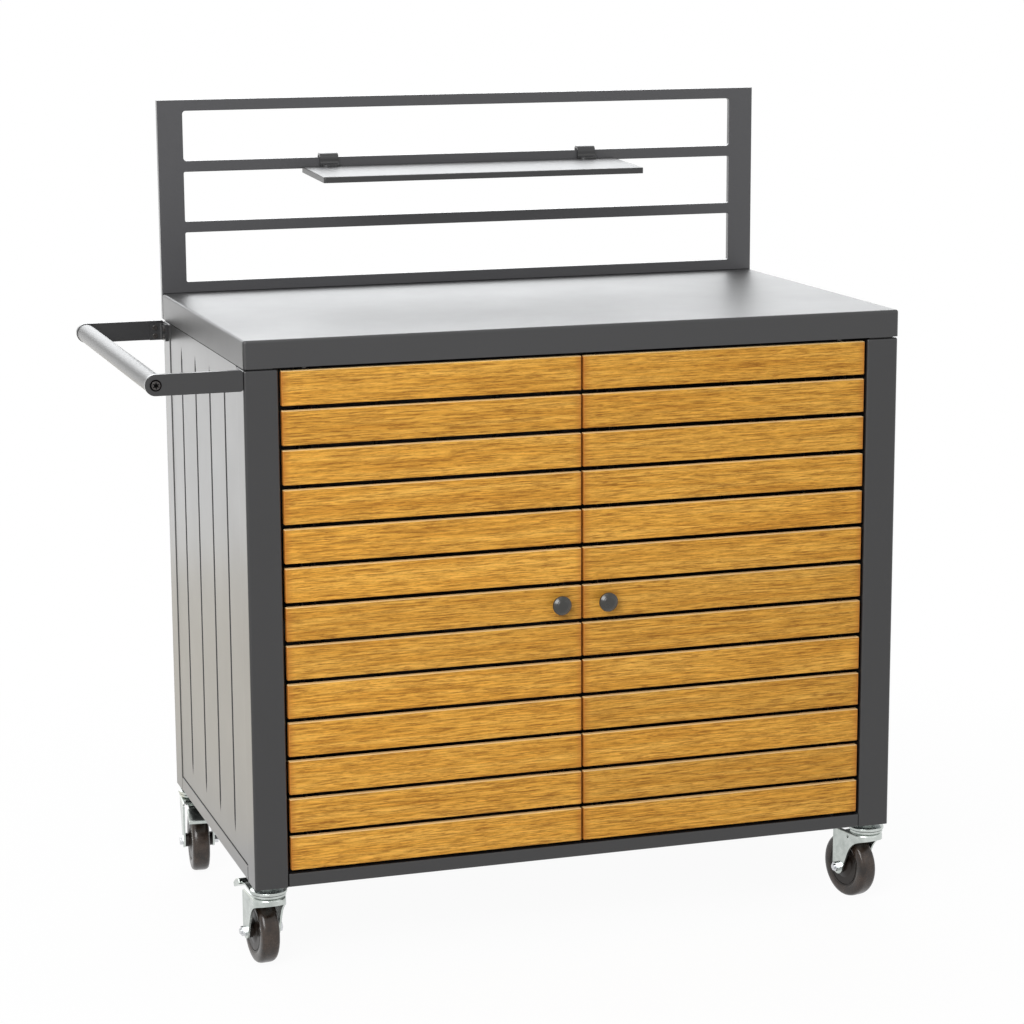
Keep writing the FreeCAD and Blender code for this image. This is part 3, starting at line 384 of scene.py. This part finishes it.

# %% [markdown]
# The slats are oiled hardwood: golden, with long lighter and darker bands, a fine grain, and short
# dark pores that lie like dashes along the board. No two boards of a door are cut from the same
# place, so each slat carries its own number, in an attribute, that shifts the pattern and its tone.
# Faces that look up, such as the rounded top edge, get a pale painted highlight, which the shader
# finds from the way the surface faces, and the ends have drunk more oil and are redder, which it
# reads from a second attribute of the board.

# %% Oiled wood
wood_light = (0.79, 0.435, 0.082)
wood_middle = (0.68, 0.335, 0.046)
wood_dark = (0.48, 0.195, 0.018)
pore_colour = (0.25, 0.078, 0.006)
# Pale colour of the painted highlight on the faces that look up.
top_highlight_colour = (0.98, 0.72, 0.36)
end_colour = (0.42, 0.125, 0.018)
board_shift = (37.0, 11.0, 5.0)


def make_wood():
    material, tree, shader = new_material(
        "slat_wood", wood_middle, IOR=1.45, Specular_IOR_Level=0.3,
    )
    coords = tree.nodes.new("ShaderNodeTexCoord").outputs["Object"]
    board = put(tree, "ShaderNodeAttribute", attribute_name="board").outputs["Fac"]
    shift = tree.nodes.new("ShaderNodeCombineXYZ")
    for socket, step in zip(shift.inputs, board_shift):
        tree.links.new(maths(tree, "MULTIPLY", board, step), socket)
    moved = tree.nodes.new("ShaderNodeVectorMath")
    moved.operation = "ADD"
    tree.links.new(coords, moved.inputs[0])
    tree.links.new(shift.outputs[0], moved.inputs[1])

    def stretched(along, across):
        """Coordinates for a pattern of so many waves in a metre along and across the board."""
        scaled = tree.nodes.new("ShaderNodeVectorMath")
        scaled.operation = "MULTIPLY"
        tree.links.new(moved.outputs[0], scaled.inputs[0])
        scaled.inputs[1].default_value = (along, across, across)
        return scaled.outputs[0]

    bands = noise(tree, stretched(4, 110), detail=3.0, roughness=0.6, distortion=0.2)
    grain = noise(tree, stretched(22, 420), detail=5.0, roughness=0.78)
    pores = noise(tree, stretched(48, 600), detail=2.0, roughness=0.6)
    colour = ramp(tree, bands, [(0.16, wood_dark), (0.46, wood_middle), (0.80, wood_light)])
    streaks = [(0.36, (0.46, 0.38, 0.30)), (0.5, (0.94, 0.93, 0.91)), (0.64, (1.26, 1.28, 1.34))]
    colour = mix_colour(tree, 1.0, colour, ramp(tree, grain, streaks), "MULTIPLY")
    dashes = remap(tree, pores, 0.56, 0.68, 0.0, 0.6)
    colour = mix_colour(tree, dashes, colour, pore_colour)
    tone = remap(tree, board, 0.0, 1.0, 0.93, 1.07)
    toned = tree.nodes.new("ShaderNodeCombineColor")
    for socket in toned.inputs:
        tree.links.new(tone, socket)
    colour = mix_colour(tree, 1.0, colour, toned.outputs[0], "MULTIPLY")
    end = put(tree, "ShaderNodeAttribute", attribute_name="end").outputs["Fac"]
    colour = mix_colour(tree, maths(tree, "MULTIPLY", end, 0.75), colour, end_colour)
    # Faces that look up in the world get a pale painted highlight.
    facing = tree.nodes.new("ShaderNodeSeparateXYZ")
    tree.links.new(tree.nodes.new("ShaderNodeNewGeometry").outputs["Normal"], facing.inputs[0])
    painted_top_highlight = remap(tree, facing.outputs["Z"], 0.2, 0.7, 0.0, 0.8)
    colour = mix_colour(tree, painted_top_highlight, colour, top_highlight_colour)
    relief = maths(tree, "SUBTRACT", grain, maths(tree, "MULTIPLY", dashes, 0.6))
    finish_with(
        tree, shader, colour=colour,
        roughness=remap(tree, grain, 0.3, 0.7, 0.58, 0.42),
        normal=bump(tree, relief, strength=0.35, distance=0.0004),
    )
    return material


slat_wood = make_wood()
print("wood", len(slat_wood.node_tree.nodes), "nodes")

# %% [markdown]
# The casters are steel pressings with a bright zinc plating: a metal, but a soft one, with faint
# clouds from the bath and fine scratches. The fixings are brighter. The hidden channels are plain
# galvanised sheet. Rubber and nylon are dark and matt, with a brown cast and a little dust.

# %% Metals, rubber and plastic
def make_metal(name, colour, shade, low_rough, high_rough, cloud_scale, scratch):
    material, tree, shader = new_material(name, colour, metallic=1.0)
    clouds = noise(tree, object_coords(tree), scale=cloud_scale, detail=4.0, roughness=0.6)
    scratches = noise(tree, object_coords(tree, (1, 1, 0.06)), scale=1400.0, detail=1.0)
    finish_with(
        tree, shader,
        colour=mix_colour(tree, clouds, shade, colour),
        roughness=remap(tree, clouds, 0.3, 0.7, low_rough, high_rough),
        normal=bump(tree, scratches, strength=scratch, distance=0.0001),
    )
    return material


zinc = make_metal(
    "zinc", (0.76, 0.80, 0.77), (0.26, 0.29, 0.27), low_rough=0.12, high_rough=0.30,
    cloud_scale=75.0, scratch=0.25,
)
bolt_steel = make_metal(
    "bolt_steel", (0.72, 0.73, 0.74), (0.55, 0.56, 0.58), low_rough=0.18, high_rough=0.30,
    cloud_scale=150.0, scratch=0.2,
)
plain_steel = make_metal(
    "plain_steel", (0.56, 0.58, 0.60), (0.40, 0.42, 0.44), low_rough=0.35, high_rough=0.55,
    cloud_scale=35.0, scratch=0.2,
)


def make_matt(name, colour, dust, roughness, grain_scale, grain_strength, specular=0.3):
    material, tree, shader = new_material(
        name, colour, roughness=roughness, Specular_IOR_Level=specular,
    )
    cloud = noise(tree, object_coords(tree), scale=45.0, detail=5.0, roughness=0.65)
    fine = noise(tree, object_coords(tree), scale=grain_scale, detail=2.0)
    finish_with(
        tree, shader,
        colour=mix_colour(tree, remap(tree, cloud, 0.35, 0.75, 0.0, 0.7), colour, dust),
        roughness=remap(tree, cloud, 0.3, 0.7, roughness - 0.08, roughness + 0.08),
        normal=bump(tree, fine, strength=grain_strength, distance=0.0003),
    )
    return material


tyre_rubber = make_matt(
    "tyre_rubber", (0.015, 0.009, 0.006), (0.090, 0.062, 0.046), roughness=0.24,
    grain_scale=700.0, grain_strength=0.2, specular=0.5,
)
wheel_plastic = make_matt(
    "wheel_plastic", (0.012, 0.008, 0.006), (0.026, 0.020, 0.016), roughness=0.34,
    grain_scale=500.0, grain_strength=0.15,
)
black_plastic = make_matt(
    "black_plastic", (0.018, 0.018, 0.019), (0.035, 0.035, 0.036), roughness=0.5,
    grain_scale=900.0, grain_strength=0.3,
)
print("materials so far", len(bpy.data.materials))

# %% [markdown]
# Every piece of the frame says, in the record, which finish it takes. One loop hands the materials
# out. A few pieces of a slot look different from the rest, so they are named.

# %% Give each piece its finish
finishes = {
    "charcoal_coat": charcoal_coat,
    "plain_steel": plain_steel,
    "slat_wood": slat_wood,
    "knob_coat": knob_coat,
    "dark_steel": burnished,
    "bolt_steel": bolt_steel,
    "zinc": zinc,
    "wheel_plastic": wheel_plastic,
    "tyre_rubber": tyre_rubber,
    "black_plastic": black_plastic,
}
own_finish = {
    "worktop": top_coat,
    "hanging_shelf": top_coat,
    # The back frame takes the lighter copy of the coat, painted light.
    "back_frame": frame_coat,
    "handle_tube": tube_coat,
    "left_door_frame": stile_coat,
    "right_door_frame": stile_coat,
    "left_hinge_pins": burnished,
    "right_hinge_pins": burnished,
    "front_left_brake_pad": zinc,
    "rear_left_brake_pad": zinc,
}
for part in frame["record"]["subparts"]:
    mesh = nodes[part["node"]].data
    mesh.materials.clear()
    mesh.materials.append(own_finish.get(part["node"], finishes[part["material_slot"]]))
print("finishes", len(finishes), "and pieces with their own", len(own_finish))

# %% [markdown]
# Each end of the handle's tube is held by a socket screw: a dark washer, a ring of worn steel, and
# a black socket in the middle. The imported piece has the shape already, so the faces that look along
# the tube only take another finish, by how far they are from the middle of the screw: the ring of the
# head takes worn steel, and the socket and the washer take a flat black that paints the shade of
# these recesses.

# %% Rings of the screws at the handle's ends
socket_radius = 0.0044
head_radius = 0.0063
faces_along = 0.7
mesh = nodes["handle_end_fixings"].data
# The socket and the washer take the black of painted shade.
mesh.materials.append(recess_black)
mesh.materials.append(burnished)
handle_low, handle_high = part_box("handle_end_fixings")
handle_x = (handle_low.x + handle_high.x) / 2
handle_z = (handle_low.z + handle_high.z) / 2
for face in mesh.polygons:
    radius = math.hypot(face.center.x - handle_x, face.center.z - handle_z)
    if abs(face.normal.y) > faces_along:
        face.material_index = 2 if socket_radius < radius < head_radius else 1
print("handle screws", len(mesh.polygons), "faces")

# %% [markdown]
# A finished piece is a mesh that rides on a body of the frame. The pieces of the frame it stands
# for are hidden, and it takes the given finish, or the one of its slot. Turned parts are smooth
# where the profile is round and crisp where it turns a corner, so the angle between two faces
# decides the shading. A rounding in a profile never takes more than its share of the side next to
# it, just under half.

# %% Helpers for finished pieces
tiny = 1e-6
side_share = 0.48


def finished(name, mesh, body, slot, material=None, replaces=(), sharp_angle=32.0):
    """Shades a mesh and makes it a piece. Without a material it has its own, or the slot's."""
    for face in mesh.polygons:
        face.use_smooth = True
    mesh.set_sharp_from_angle(angle=math.radians(sharp_angle))
    if not mesh.materials:
        mesh.materials.append(material or finishes[slot])
    piece = bpy.data.objects.new(name, mesh)
    bpy.context.scene.collection.objects.link(piece)
    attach(piece, body)
    if replaces:
        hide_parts(*replaces)
    print(name, len(mesh.polygons), "faces")
    return piece


def mesh_of(name, shape):
    """Turns an edited shape into a mesh and frees it."""
    mesh = bpy.data.meshes.new(name)
    shape.to_mesh(mesh)
    shape.free()
    return mesh


def soften(corners, steps=5):
    """Rounds the corners of a profile, each given as (along, radius, rounding) in millimetres."""
    points = []
    for i, (along, radius, rounding) in enumerate(corners):
        corner = Vector((along, radius)) / 1000
        if rounding == 0:
            points.append(corner)
            continue
        before = Vector(corners[i - 1][:2]) / 1000 - corner
        after = Vector(corners[(i + 1) % len(corners)][:2]) / 1000 - corner
        start = corner + before.normalized() * min(rounding / 1000, before.length * side_share)
        stop = corner + after.normalized() * min(rounding / 1000, after.length * side_share)
        for k in range(steps + 1):
            s = k / steps
            points.append((1 - s) ** 2 * start + 2 * s * (1 - s) * corner + s * s * stop)
    return points


def turn(shape, profile, centre, axis, sides, closed):
    """Spins a profile of (along, radius) about an axis. A point on the axis becomes a pole."""
    along = Vector(axis).normalized()
    side = along.orthogonal().normalized()
    up = along.cross(side)
    rings = []
    for point in profile:
        middle = Vector(centre) + along * point.x
        if point.y < tiny:
            rings.append([shape.verts.new(middle)])
            continue
        angles = [math.tau * k / sides for k in range(sides)]
        spokes = [math.cos(a) * side + math.sin(a) * up for a in angles]
        rings.append([shape.verts.new(middle + point.y * spoke) for spoke in spokes])
    following = rings[1:] + rings[:1] if closed else rings[1:]
    made = []
    for a, b in zip(rings, following):
        for k in range(sides):
            corners = [a[k % len(a)], a[(k + 1) % len(a)], b[(k + 1) % len(b)], b[k % len(b)]]
            made.append(shape.faces.new(list(dict.fromkeys(corners))))
    bmesh.ops.recalc_face_normals(shape, faces=made)


def both_sides(half_profile):
    """A profile of one side, and its mirror image, as one closed loop."""
    mirrored = [(-along, radius, rounding) for along, radius, rounding in reversed(half_profile)]
    return half_profile + mirrored


# %% [markdown]
# What repeats, or follows a rule, is made by Geometry Nodes. A tree takes a mesh and named
# settings, and all the trees end alike: instances become one real mesh, and the mesh gets its
# finish. A tree is evaluated once, and only its result is kept, as a plain mesh.

# %% Helpers for Geometry Nodes
def new_group(name, mesh_input, settings, result):
    """A tree with one mesh as input, settings given as (name, kind), and one result."""
    tree = bpy.data.node_groups.new(name, "GeometryNodeTree")
    sockets = [(mesh_input, "Geometry")] + settings
    for socket, kind in sockets:
        tree.interface.new_socket(socket, in_out="INPUT", socket_type="NodeSocket" + kind)
    tree.interface.new_socket(result, in_out="OUTPUT", socket_type="NodeSocketGeometry")
    return tree, tree.nodes.new("NodeGroupInput").outputs


def end_group(tree, geometry, finish):
    real = put(tree, "GeometryNodeRealizeInstances", Geometry=geometry)
    coated = put(tree, "GeometryNodeSetMaterial", Geometry=real.outputs[0], Material=finish)
    tree.links.new(coated.outputs[0], tree.nodes.new("NodeGroupOutput").inputs[0])


def run_nodes(name, mesh, tree, **inputs):
    """Evaluates a tree on a mesh once and gives the result as a plain mesh."""
    source = bpy.data.objects.new(name + "_source", mesh)
    bpy.context.scene.collection.objects.link(source)
    modifier = source.modifiers.new("nodes", "NODES")
    modifier.node_group = tree
    sockets = {s.name: s.identifier for s in tree.interface.items_tree if s.in_out == "INPUT"}
    for key, value in inputs.items():
        modifier[sockets[key.replace("_", " ")]] = value
    evaluated = source.evaluated_get(bpy.context.evaluated_depsgraph_get())
    result = bpy.data.meshes.new_from_object(evaluated)
    result.name = name
    source.modifiers.remove(modifier)
    bpy.data.objects.remove(source)
    return result


# %% [markdown]
# The side and back panels are thin steel sheet with tall pressed grooves that fade out at both
# ends. A rule makes them: how deep the sheet lies depends only on how far a point is from the
# middle of the nearest groove, and on its height. Between the floor of a groove and its edge the
# depth runs smoothly to nothing. Towards its ends a groove gets shallower and also narrower, down
# to a share of its width.

# %% Rule of the pressed grooves
narrowest_share = 0.15
face_depth = 0.0001


def groove_tree():
    """Pushes in the points of a sheet's face. The flanges lie deeper than the face and stay."""
    measures = ["First", "Pitch", "Last Number", "Half Width", "Half Floor", "Depth"]
    measures += ["Low", "High", "Run"]
    settings = [(name, "Float") for name in measures] + [("Finish", "Material")]
    tree, given = new_group("pressed_grooves", "Sheet", settings, "Panel")
    place = tree.nodes.new("ShaderNodeSeparateXYZ")
    tree.links.new(tree.nodes.new("GeometryNodeInputPosition").outputs[0], place.inputs[0])
    from_first = maths(tree, "SUBTRACT", place.outputs["X"], given["First"])
    number = maths(tree, "ROUND", maths(tree, "DIVIDE", from_first, given["Pitch"]))
    number = maths(tree, "MAXIMUM", maths(tree, "MINIMUM", number, given["Last Number"]), 0.0)
    middle = maths(tree, "MULTIPLY", number, given["Pitch"])
    away = maths(tree, "ABSOLUTE", maths(tree, "SUBTRACT", from_first, middle))
    above = maths(tree, "SUBTRACT", place.outputs["Z"], given["Low"])
    below = maths(tree, "SUBTRACT", given["High"], place.outputs["Z"])
    fade = maths(tree, "DIVIDE", maths(tree, "MINIMUM", above, below), given["Run"])
    fade = maths(tree, "MAXIMUM", maths(tree, "MINIMUM", fade, 1.0), 0.0)
    width_share = maths(tree, "MAXIMUM", fade, narrowest_share)
    wall = tree.nodes.new("ShaderNodeMapRange")
    wall.interpolation_type = "SMOOTHSTEP"
    tree.links.new(away, wall.inputs["Value"])
    half_floor = maths(tree, "MULTIPLY", given["Half Floor"], width_share)
    half_width = maths(tree, "MULTIPLY", given["Half Width"], width_share)
    tree.links.new(half_floor, wall.inputs["From Min"])
    tree.links.new(half_width, wall.inputs["From Max"])
    wall.inputs["To Min"].default_value = 1.0
    wall.inputs["To Max"].default_value = 0.0
    depth = maths(tree, "MULTIPLY", maths(tree, "MULTIPLY", wall.outputs[0], fade), given["Depth"])
    on_face = maths(tree, "LESS_THAN", place.outputs["Y"], face_depth)
    push = put(tree, "ShaderNodeCombineXYZ", Y=maths(tree, "MULTIPLY", depth, on_face))
    pressed = put(tree, "GeometryNodeSetPosition", Geometry=given["Sheet"], Offset=push.outputs[0])
    end_group(tree, pressed.outputs[0], given["Finish"])
    return tree


grooves = groove_tree()
print("groove rule", len(grooves.nodes), "nodes")

# %% [markdown]
# A panel starts as a flat folded sheet, and the rule presses its grooves. The sheet has close rows
# of points only where it bends, and one more row a little farther out, so that the flat between two
# grooves is shaded flat on the inside too. Solidify then gives the sheet its thickness. The left
# and right panels have four grooves, and the longer back panel has eight at the same distance.

# %% Pressed panels
panel_sheet = 0.0015
panel_fold = 0.015
fold_round = 0.0012
groove_pitch = 0.103
groove_half = 0.0048
groove_half_floor = 0.0036
groove_depth = 0.003
groove_end = 0.026
groove_run = 0.026
bend_step = 0.0004
bend_rows = 27
bend_reach = 0.0052
flat_margin = 0.008


def flat_sheet(length, low, high, middles):
    """A folded sheet with X along the panel, Y into the cabinet and Z up."""
    corner = [
        (0, panel_fold), (0, fold_round), (fold_round * 0.3, fold_round * 0.3),
        (fold_round, 0), (fold_round * 1.3, 0), (flat_margin, 0),
    ]
    section = list(corner)
    bends = [-bend_reach + bend_step * i for i in range(bend_rows)]
    bends = [-flat_margin] + bends + [flat_margin]
    for middle in middles:
        section += [(middle + bend, 0) for bend in bends]
    section += [(length - x, y) for x, y in reversed(corner)]
    bottom = low + groove_end
    top = high - groove_end
    fades = [0, 0.1, 0.25, 0.45, 0.7, 1.0]
    heights = [low] + [bottom + groove_run * f for f in fades]
    heights += [top - groove_run * f for f in reversed(fades)] + [high]
    shape = bmesh.new()
    rows = [[shape.verts.new((x, y, z)) for x, y in section] for z in heights]
    for lower, upper in zip(rows, rows[1:]):
        for i in range(len(section) - 1):
            shape.faces.new((lower[i], lower[i + 1], upper[i + 1], upper[i]))
    for row, step in ((rows[0], 1), (rows[-1], -1)):
        flat = [v for v in row if v.co.y < tiny]
        flange = [shape.verts.new(v.co + Vector((0, panel_fold, 0))) for v in (flat[0], flat[-1])]
        shape.faces.new(([flange[0], flange[1]] + flat[::-1])[::step])
    return mesh_of("flat_sheet", shape)


def pressed_panel(node, count, turn_matrix):
    """Makes a panel in the sheet's own X, Y and Z, turns it and moves it onto the node's box."""
    low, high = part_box(node)
    size = high - low
    length = max(size.x, size.y)
    first = length / 2 - groove_pitch * (count - 1) / 2
    sheet = flat_sheet(length, low.z, high.z, [first + groove_pitch * i for i in range(count)])
    mesh = run_nodes(
        node + "_pressed", sheet, grooves, First=first, Pitch=groove_pitch, Last_Number=count - 1.0,
        Half_Width=groove_half, Half_Floor=groove_half_floor, Depth=groove_depth,
        Low=low.z + groove_end, High=high.z - groove_end, Run=groove_run,
        Finish=charcoal_coat,
    )
    mesh.transform(turn_matrix)
    corner = Vector(min(v.co[i] for v in mesh.vertices) for i in range(3))
    mesh.transform(Matrix.Translation(Vector((low.x - corner.x, low.y - corner.y, 0))))
    if turn_matrix.determinant() < 0:
        mesh.flip_normals()
    piece = finished(
        node + "_pressed", mesh, "cart", "charcoal_coat", replaces=[node], sharp_angle=50.0,
    )
    wall = piece.modifiers.new("thickness", "SOLIDIFY")
    wall.thickness = panel_sheet
    wall.offset = -1.0


facing_left = Matrix(((0, 1, 0, 0), (-1, 0, 0, 0), (0, 0, 1, 0), (0, 0, 0, 1)))
facing_right = Matrix(((0, -1, 0, 0), (1, 0, 0, 0), (0, 0, 1, 0), (0, 0, 0, 1)))
facing_back = Matrix(((-1, 0, 0, 0), (0, -1, 0, 0), (0, 0, 1, 0), (0, 0, 0, 1)))
pressed_panel("left_panel", 4, facing_left)
pressed_panel("right_panel", 4, facing_right)
pressed_panel("back_panel", 8, facing_back)

# %% [markdown]
# The slats repeat thirteen times on each door, so Geometry Nodes set them out: one board with
# rounded edges is the input, a line of points is made up the door, and each point gets a board and
# a number. The boards keep the pitch of the frame's slats and are a little narrower, so that the
# dark gaps between them look as wide as in the photograph. Cutting a board leaves its faces in no
# fixed order, so they are sorted by their places.

# %% Slats of the doors
slat_count = 13
frame_slat_gap = 0.00467
slat_gap = 0.0068
slat_round = 0.0015
end_fade = 0.011
inner_fade = 0.3
first_seed = 3


def stretch_cube(vertices, low, high):
    """Moves the corners of a cube of size 1 to those of a box."""
    middle = (low + high) / 2
    size = high - low
    for vertex in vertices:
        vertex.co = Vector(middle[i] + vertex.co[i] * size[i] for i in range(3))


def rounded_board(low, high, rounding):
    """A box from low to high with every edge rounded, and a number that fades in from both ends."""
    shape = bmesh.new()
    bmesh.ops.create_cube(shape, size=1.0)
    stretch_cube(shape.verts, low, high)
    bmesh.ops.bevel(
        shape, geom=shape.edges[:], offset=rounding, segments=3, profile=0.5, affect="EDGES",
    )
    near = end_fade * inner_fade
    for cut in (low.x + end_fade, low.x + near, high.x - near, high.x - end_fade):
        geometry = shape.verts[:] + shape.edges[:] + shape.faces[:]
        bmesh.ops.bisect_plane(shape, geom=geometry, plane_co=(cut, 0, 0), plane_no=(1, 0, 0))
    in_order = sorted(shape.faces, key=lambda face: tuple(face.calc_center_median()))
    for number, face in enumerate(in_order):
        face.index = number
    shape.faces.sort()
    end = shape.verts.layers.float.new("end")
    for vertex in shape.verts:
        from_end = min(vertex.co.x - low.x, high.x - vertex.co.x)
        vertex[end] = max(0.0, 1 - from_end / end_fade) ** 2
    for face in shape.faces:
        face.smooth = max(abs(part) for part in face.normal) < 0.999
    return mesh_of("board", shape)


def slat_tree():
    """A column of boards, each with a random number of its own."""
    settings = [("Count", "Int"), ("Pitch", "Float"), ("Seed", "Int"), ("Finish", "Material")]
    tree, given = new_group("slats", "Board", settings, "Slats")
    step = put(tree, "ShaderNodeCombineXYZ", Z=given["Pitch"])
    line = put(tree, "GeometryNodeMeshLine", Count=given["Count"], Offset=step.outputs[0])
    boards = put(
        tree, "GeometryNodeInstanceOnPoints", Points=line.outputs[0], Instance=given["Board"],
    )
    number = tree.nodes.new("FunctionNodeRandomValue")
    tree.links.new(given["Seed"], number.inputs["Seed"])
    named = tree.nodes.new("GeometryNodeStoreNamedAttribute")
    named.domain = "INSTANCE"
    named.inputs["Name"].default_value = "board"
    tree.links.new(boards.outputs[0], named.inputs["Geometry"])
    tree.links.new(number.outputs[1], named.inputs["Value"])
    end_group(tree, named.outputs[0], given["Finish"])
    return tree


slats_from_board = slat_tree()
for number, side in enumerate(("left", "right")):
    node = side + "_door_slats"
    low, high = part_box(node)
    pitch = (high.z - low.z + frame_slat_gap) / slat_count
    narrower = (slat_gap - frame_slat_gap) / 2
    bottom = Vector((low.x, low.y, low.z + narrower))
    top = Vector((high.x, high.y, low.z + pitch - frame_slat_gap - narrower))
    mesh = run_nodes(
        side + "_slats", rounded_board(bottom, top, slat_round), slats_from_board,
        Count=slat_count, Pitch=pitch, Seed=first_seed + number, Finish=slat_wood,
    )
    slats = bpy.data.objects.new(side + "_slats", mesh)
    bpy.context.scene.collection.objects.link(slats)
    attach(slats, side + "_door")
    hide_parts(node)
    print(slats.name, len(mesh.polygons), "faces, pitch", round(pitch, 5))

# %% [markdown]
# Two screws hold each slat from inside, through the steel stiles of the door. They are seen when a
# door stands open. One screw is turned on a profile, and Geometry Nodes put it at every crossing of
# two lines of points: thirteen up the door, and two across it.

# %% Screws of the slats
def screw_tree():
    """A screw at every crossing of a column and a row."""
    settings = [("Count Up", "Int"), ("Pitch Up", "Float")]
    settings += [("Count Across", "Int"), ("Pitch Across", "Float"), ("Finish", "Material")]
    tree, given = new_group("screw_rows", "Screw", settings, "Screws")
    up = put(tree, "ShaderNodeCombineXYZ", Z=given["Pitch Up"])
    across = put(tree, "ShaderNodeCombineXYZ", X=given["Pitch Across"])
    column = put(tree, "GeometryNodeMeshLine", Count=given["Count Up"], Offset=up.outputs[0])
    row = put(tree, "GeometryNodeMeshLine", Count=given["Count Across"], Offset=across.outputs[0])
    crossings = put(
        tree, "GeometryNodeInstanceOnPoints", Points=column.outputs[0], Instance=row.outputs[0],
    )
    points = put(tree, "GeometryNodeRealizeInstances", Geometry=crossings.outputs[0])
    screws = put(
        tree, "GeometryNodeInstanceOnPoints", Points=points.outputs[0], Instance=given["Screw"],
    )
    end_group(tree, screws.outputs[0], given["Finish"])
    return tree


stile_middle = 0.010
screw_head = [
    (0, 3.6, 0), (1.0, 3.4, 0.5), (1.7, 2.2, 0.6), (1.7, 1.5, 0), (0.7, 1.3, 0), (0.7, 0, 0),
]
screw_rows = screw_tree()
for side in ("left", "right"):
    low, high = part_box(side + "_door_frame")
    slat_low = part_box(side + "_door_slats")[0]
    shape = bmesh.new()
    place = (low.x + stile_middle, high.y, slat_low.z + (pitch - frame_slat_gap) / 2)
    turn(shape, soften(screw_head, 2), place, (0, 1, 0), 12, closed=False)
    mesh = run_nodes(
        side + "_slat_screws", mesh_of("screw", shape), screw_rows,
        Count_Up=slat_count, Pitch_Up=pitch,
        Count_Across=2, Pitch_Across=high.x - low.x - 2 * stile_middle, Finish=bolt_steel,
    )
    finished(side + "_slat_screws", mesh, side + "_door", "bolt_steel")

# %% [markdown]
# The knobs are turned from bar: a thin neck, a rounded rim, a fine step, and a face that is
# slightly domed. A domed face catches the main light as a crescent, which a flat one can't do.

# %% Knobs
knob_profile = [
    (0, 8.5, 0), (1.2, 8.5, 0.8), (3.2, 5.8, 2.0), (6.6, 5.8, 1.6),
    (8.0, 12.6, 1.0), (10.6, 14.43, 1.6), (14.2, 14.35, 1.0), (17.4, 9.6, 0.8),
    (17.2, 9.0, 0.3), (17.9, 8.0, 0.6), (18.4, 4.5, 2.5), (18.5, 0, 0),
]
for side in ("left", "right"):
    low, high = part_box(side + "_knob")
    shape = bmesh.new()
    middle = (low + high) / 2
    turn(shape, soften(knob_profile), (middle.x, high.y, middle.z), (0, -1, 0), 64, closed=False)
    finished(
        side + "_turned_knob", mesh_of("knob", shape), side + "_door", "knob_coat",
        replaces=[side + "_knob"],
    )

# %% [markdown]
# The tyres are moulded rubber on a nylon hub. Their shoulders are full and round, and the tread is
# a little crowned, so the light runs off it softly. The frame says where each axle is and which way
# it points, so one profile, drawn for half the width, is mirrored and spun about each of the four
# axles.

# %% Tyres
tyre_profile = both_sides([
    (13.55, 34.05, 0.0), (14.2, 36.5, 1.0), (14.3, 42.0, 3.0),
    (12.8, 47.6, 3.5), (8.5, 49.8, 3.5), (3.0, 50.0, 3.0),
])
for joint in frame["joints"]:
    if not joint["name"].endswith("_wheel_spin"):
        continue
    corner = joint["name"].replace("_wheel_spin", "")
    shape = bmesh.new()
    turn(shape, soften(tyre_profile, 4), joint["pos_m"], joint["axis"], 96, closed=True)
    finished(
        corner + "_moulded_tyre", mesh_of("tyre", shape), joint["child"], "tyre_rubber",
        replaces=[corner + "_tyre"],
    )

# %% [markdown]
# Where two coated parts meet, the real cart shows a fine dark line, the shade in the gap between
# them. Thin black bars with rounded edges are put into these gaps as painted shade, because a line
# drawn in a material would not follow the joint from other sides. One lies along the foot of the
# back frame, one above and one below each side panel, and a short one where the floor tray meets
# the left leg.

# %% Dark bars in the seams, painted shade
# Painted shade: a flat black for the bars in the seams.
seal_matt = make_coat(
    "seal_matt", (0.012, 0.012, 0.012), (0.008, 0.008, 0.008), roughness=0.9, peel=0.05,
    skin=0.0, specular=0.0,
)
seam = 0.0004
top_inset = 0.002
top_reach = 0.003
top_height = 0.004
panel_outside = 0.0009
panel_inside = 0.001
panel_below = 0.0011
panel_above = 0.0003
tray_inset = 0.0005
tray_start = 0.001
tray_stop = 0.016


# Each bar is black and paints the shade in a seam.
def shade_bar(shape, low, high):
    """One thin bar with rounded edges, from its lowest to its highest corner in metres."""
    made = bmesh.ops.create_cube(shape, size=1.0)["verts"]
    stretch_cube(made, Vector(low), Vector(high))
    edges = list(dict.fromkeys(edge for vertex in made for edge in vertex.link_edges))
    rounding = min(Vector(high) - Vector(low)) * 0.3
    bmesh.ops.bevel(
        shape, geom=edges, offset=rounding, segments=2, profile=0.5, affect="EDGES",
    )


top_low, top_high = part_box("worktop")
left_low, left_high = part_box("left_panel")
right_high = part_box("right_panel")[1]
tray_low, tray_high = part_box("floor_tray")
leg_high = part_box("leg_front_left")[1]
shape = bmesh.new()
shade_bar(
    shape,
    (top_low.x + top_inset, top_high.y - top_reach, top_high.z - top_height),
    (top_high.x - top_inset, top_high.y, top_high.z + seam),
)
for x0, x1 in (
    (left_low.x - panel_outside, left_low.x + panel_inside),
    (right_high.x - panel_inside, right_high.x + panel_outside),
):
    shade_bar(
        shape,
        (x0, left_low.y, left_high.z - panel_below),
        (x1, left_high.y, left_high.z + panel_above),
    )
    shade_bar(
        shape,
        (x0 + seam, left_low.y, left_low.z - panel_below),
        (x1 - seam, left_high.y, left_low.z + seam),
    )
shade_bar(
    shape,
    (leg_high.x, tray_low.y + tray_start, tray_low.z + tray_inset),
    (leg_high.x + tray_inset, tray_low.y + tray_stop, tray_high.z - tray_inset),
)
# The black bars paint the shade in the seams.
finished("sealant", mesh_of("sealant", shape), "cart", "black_plastic", material=seal_matt)
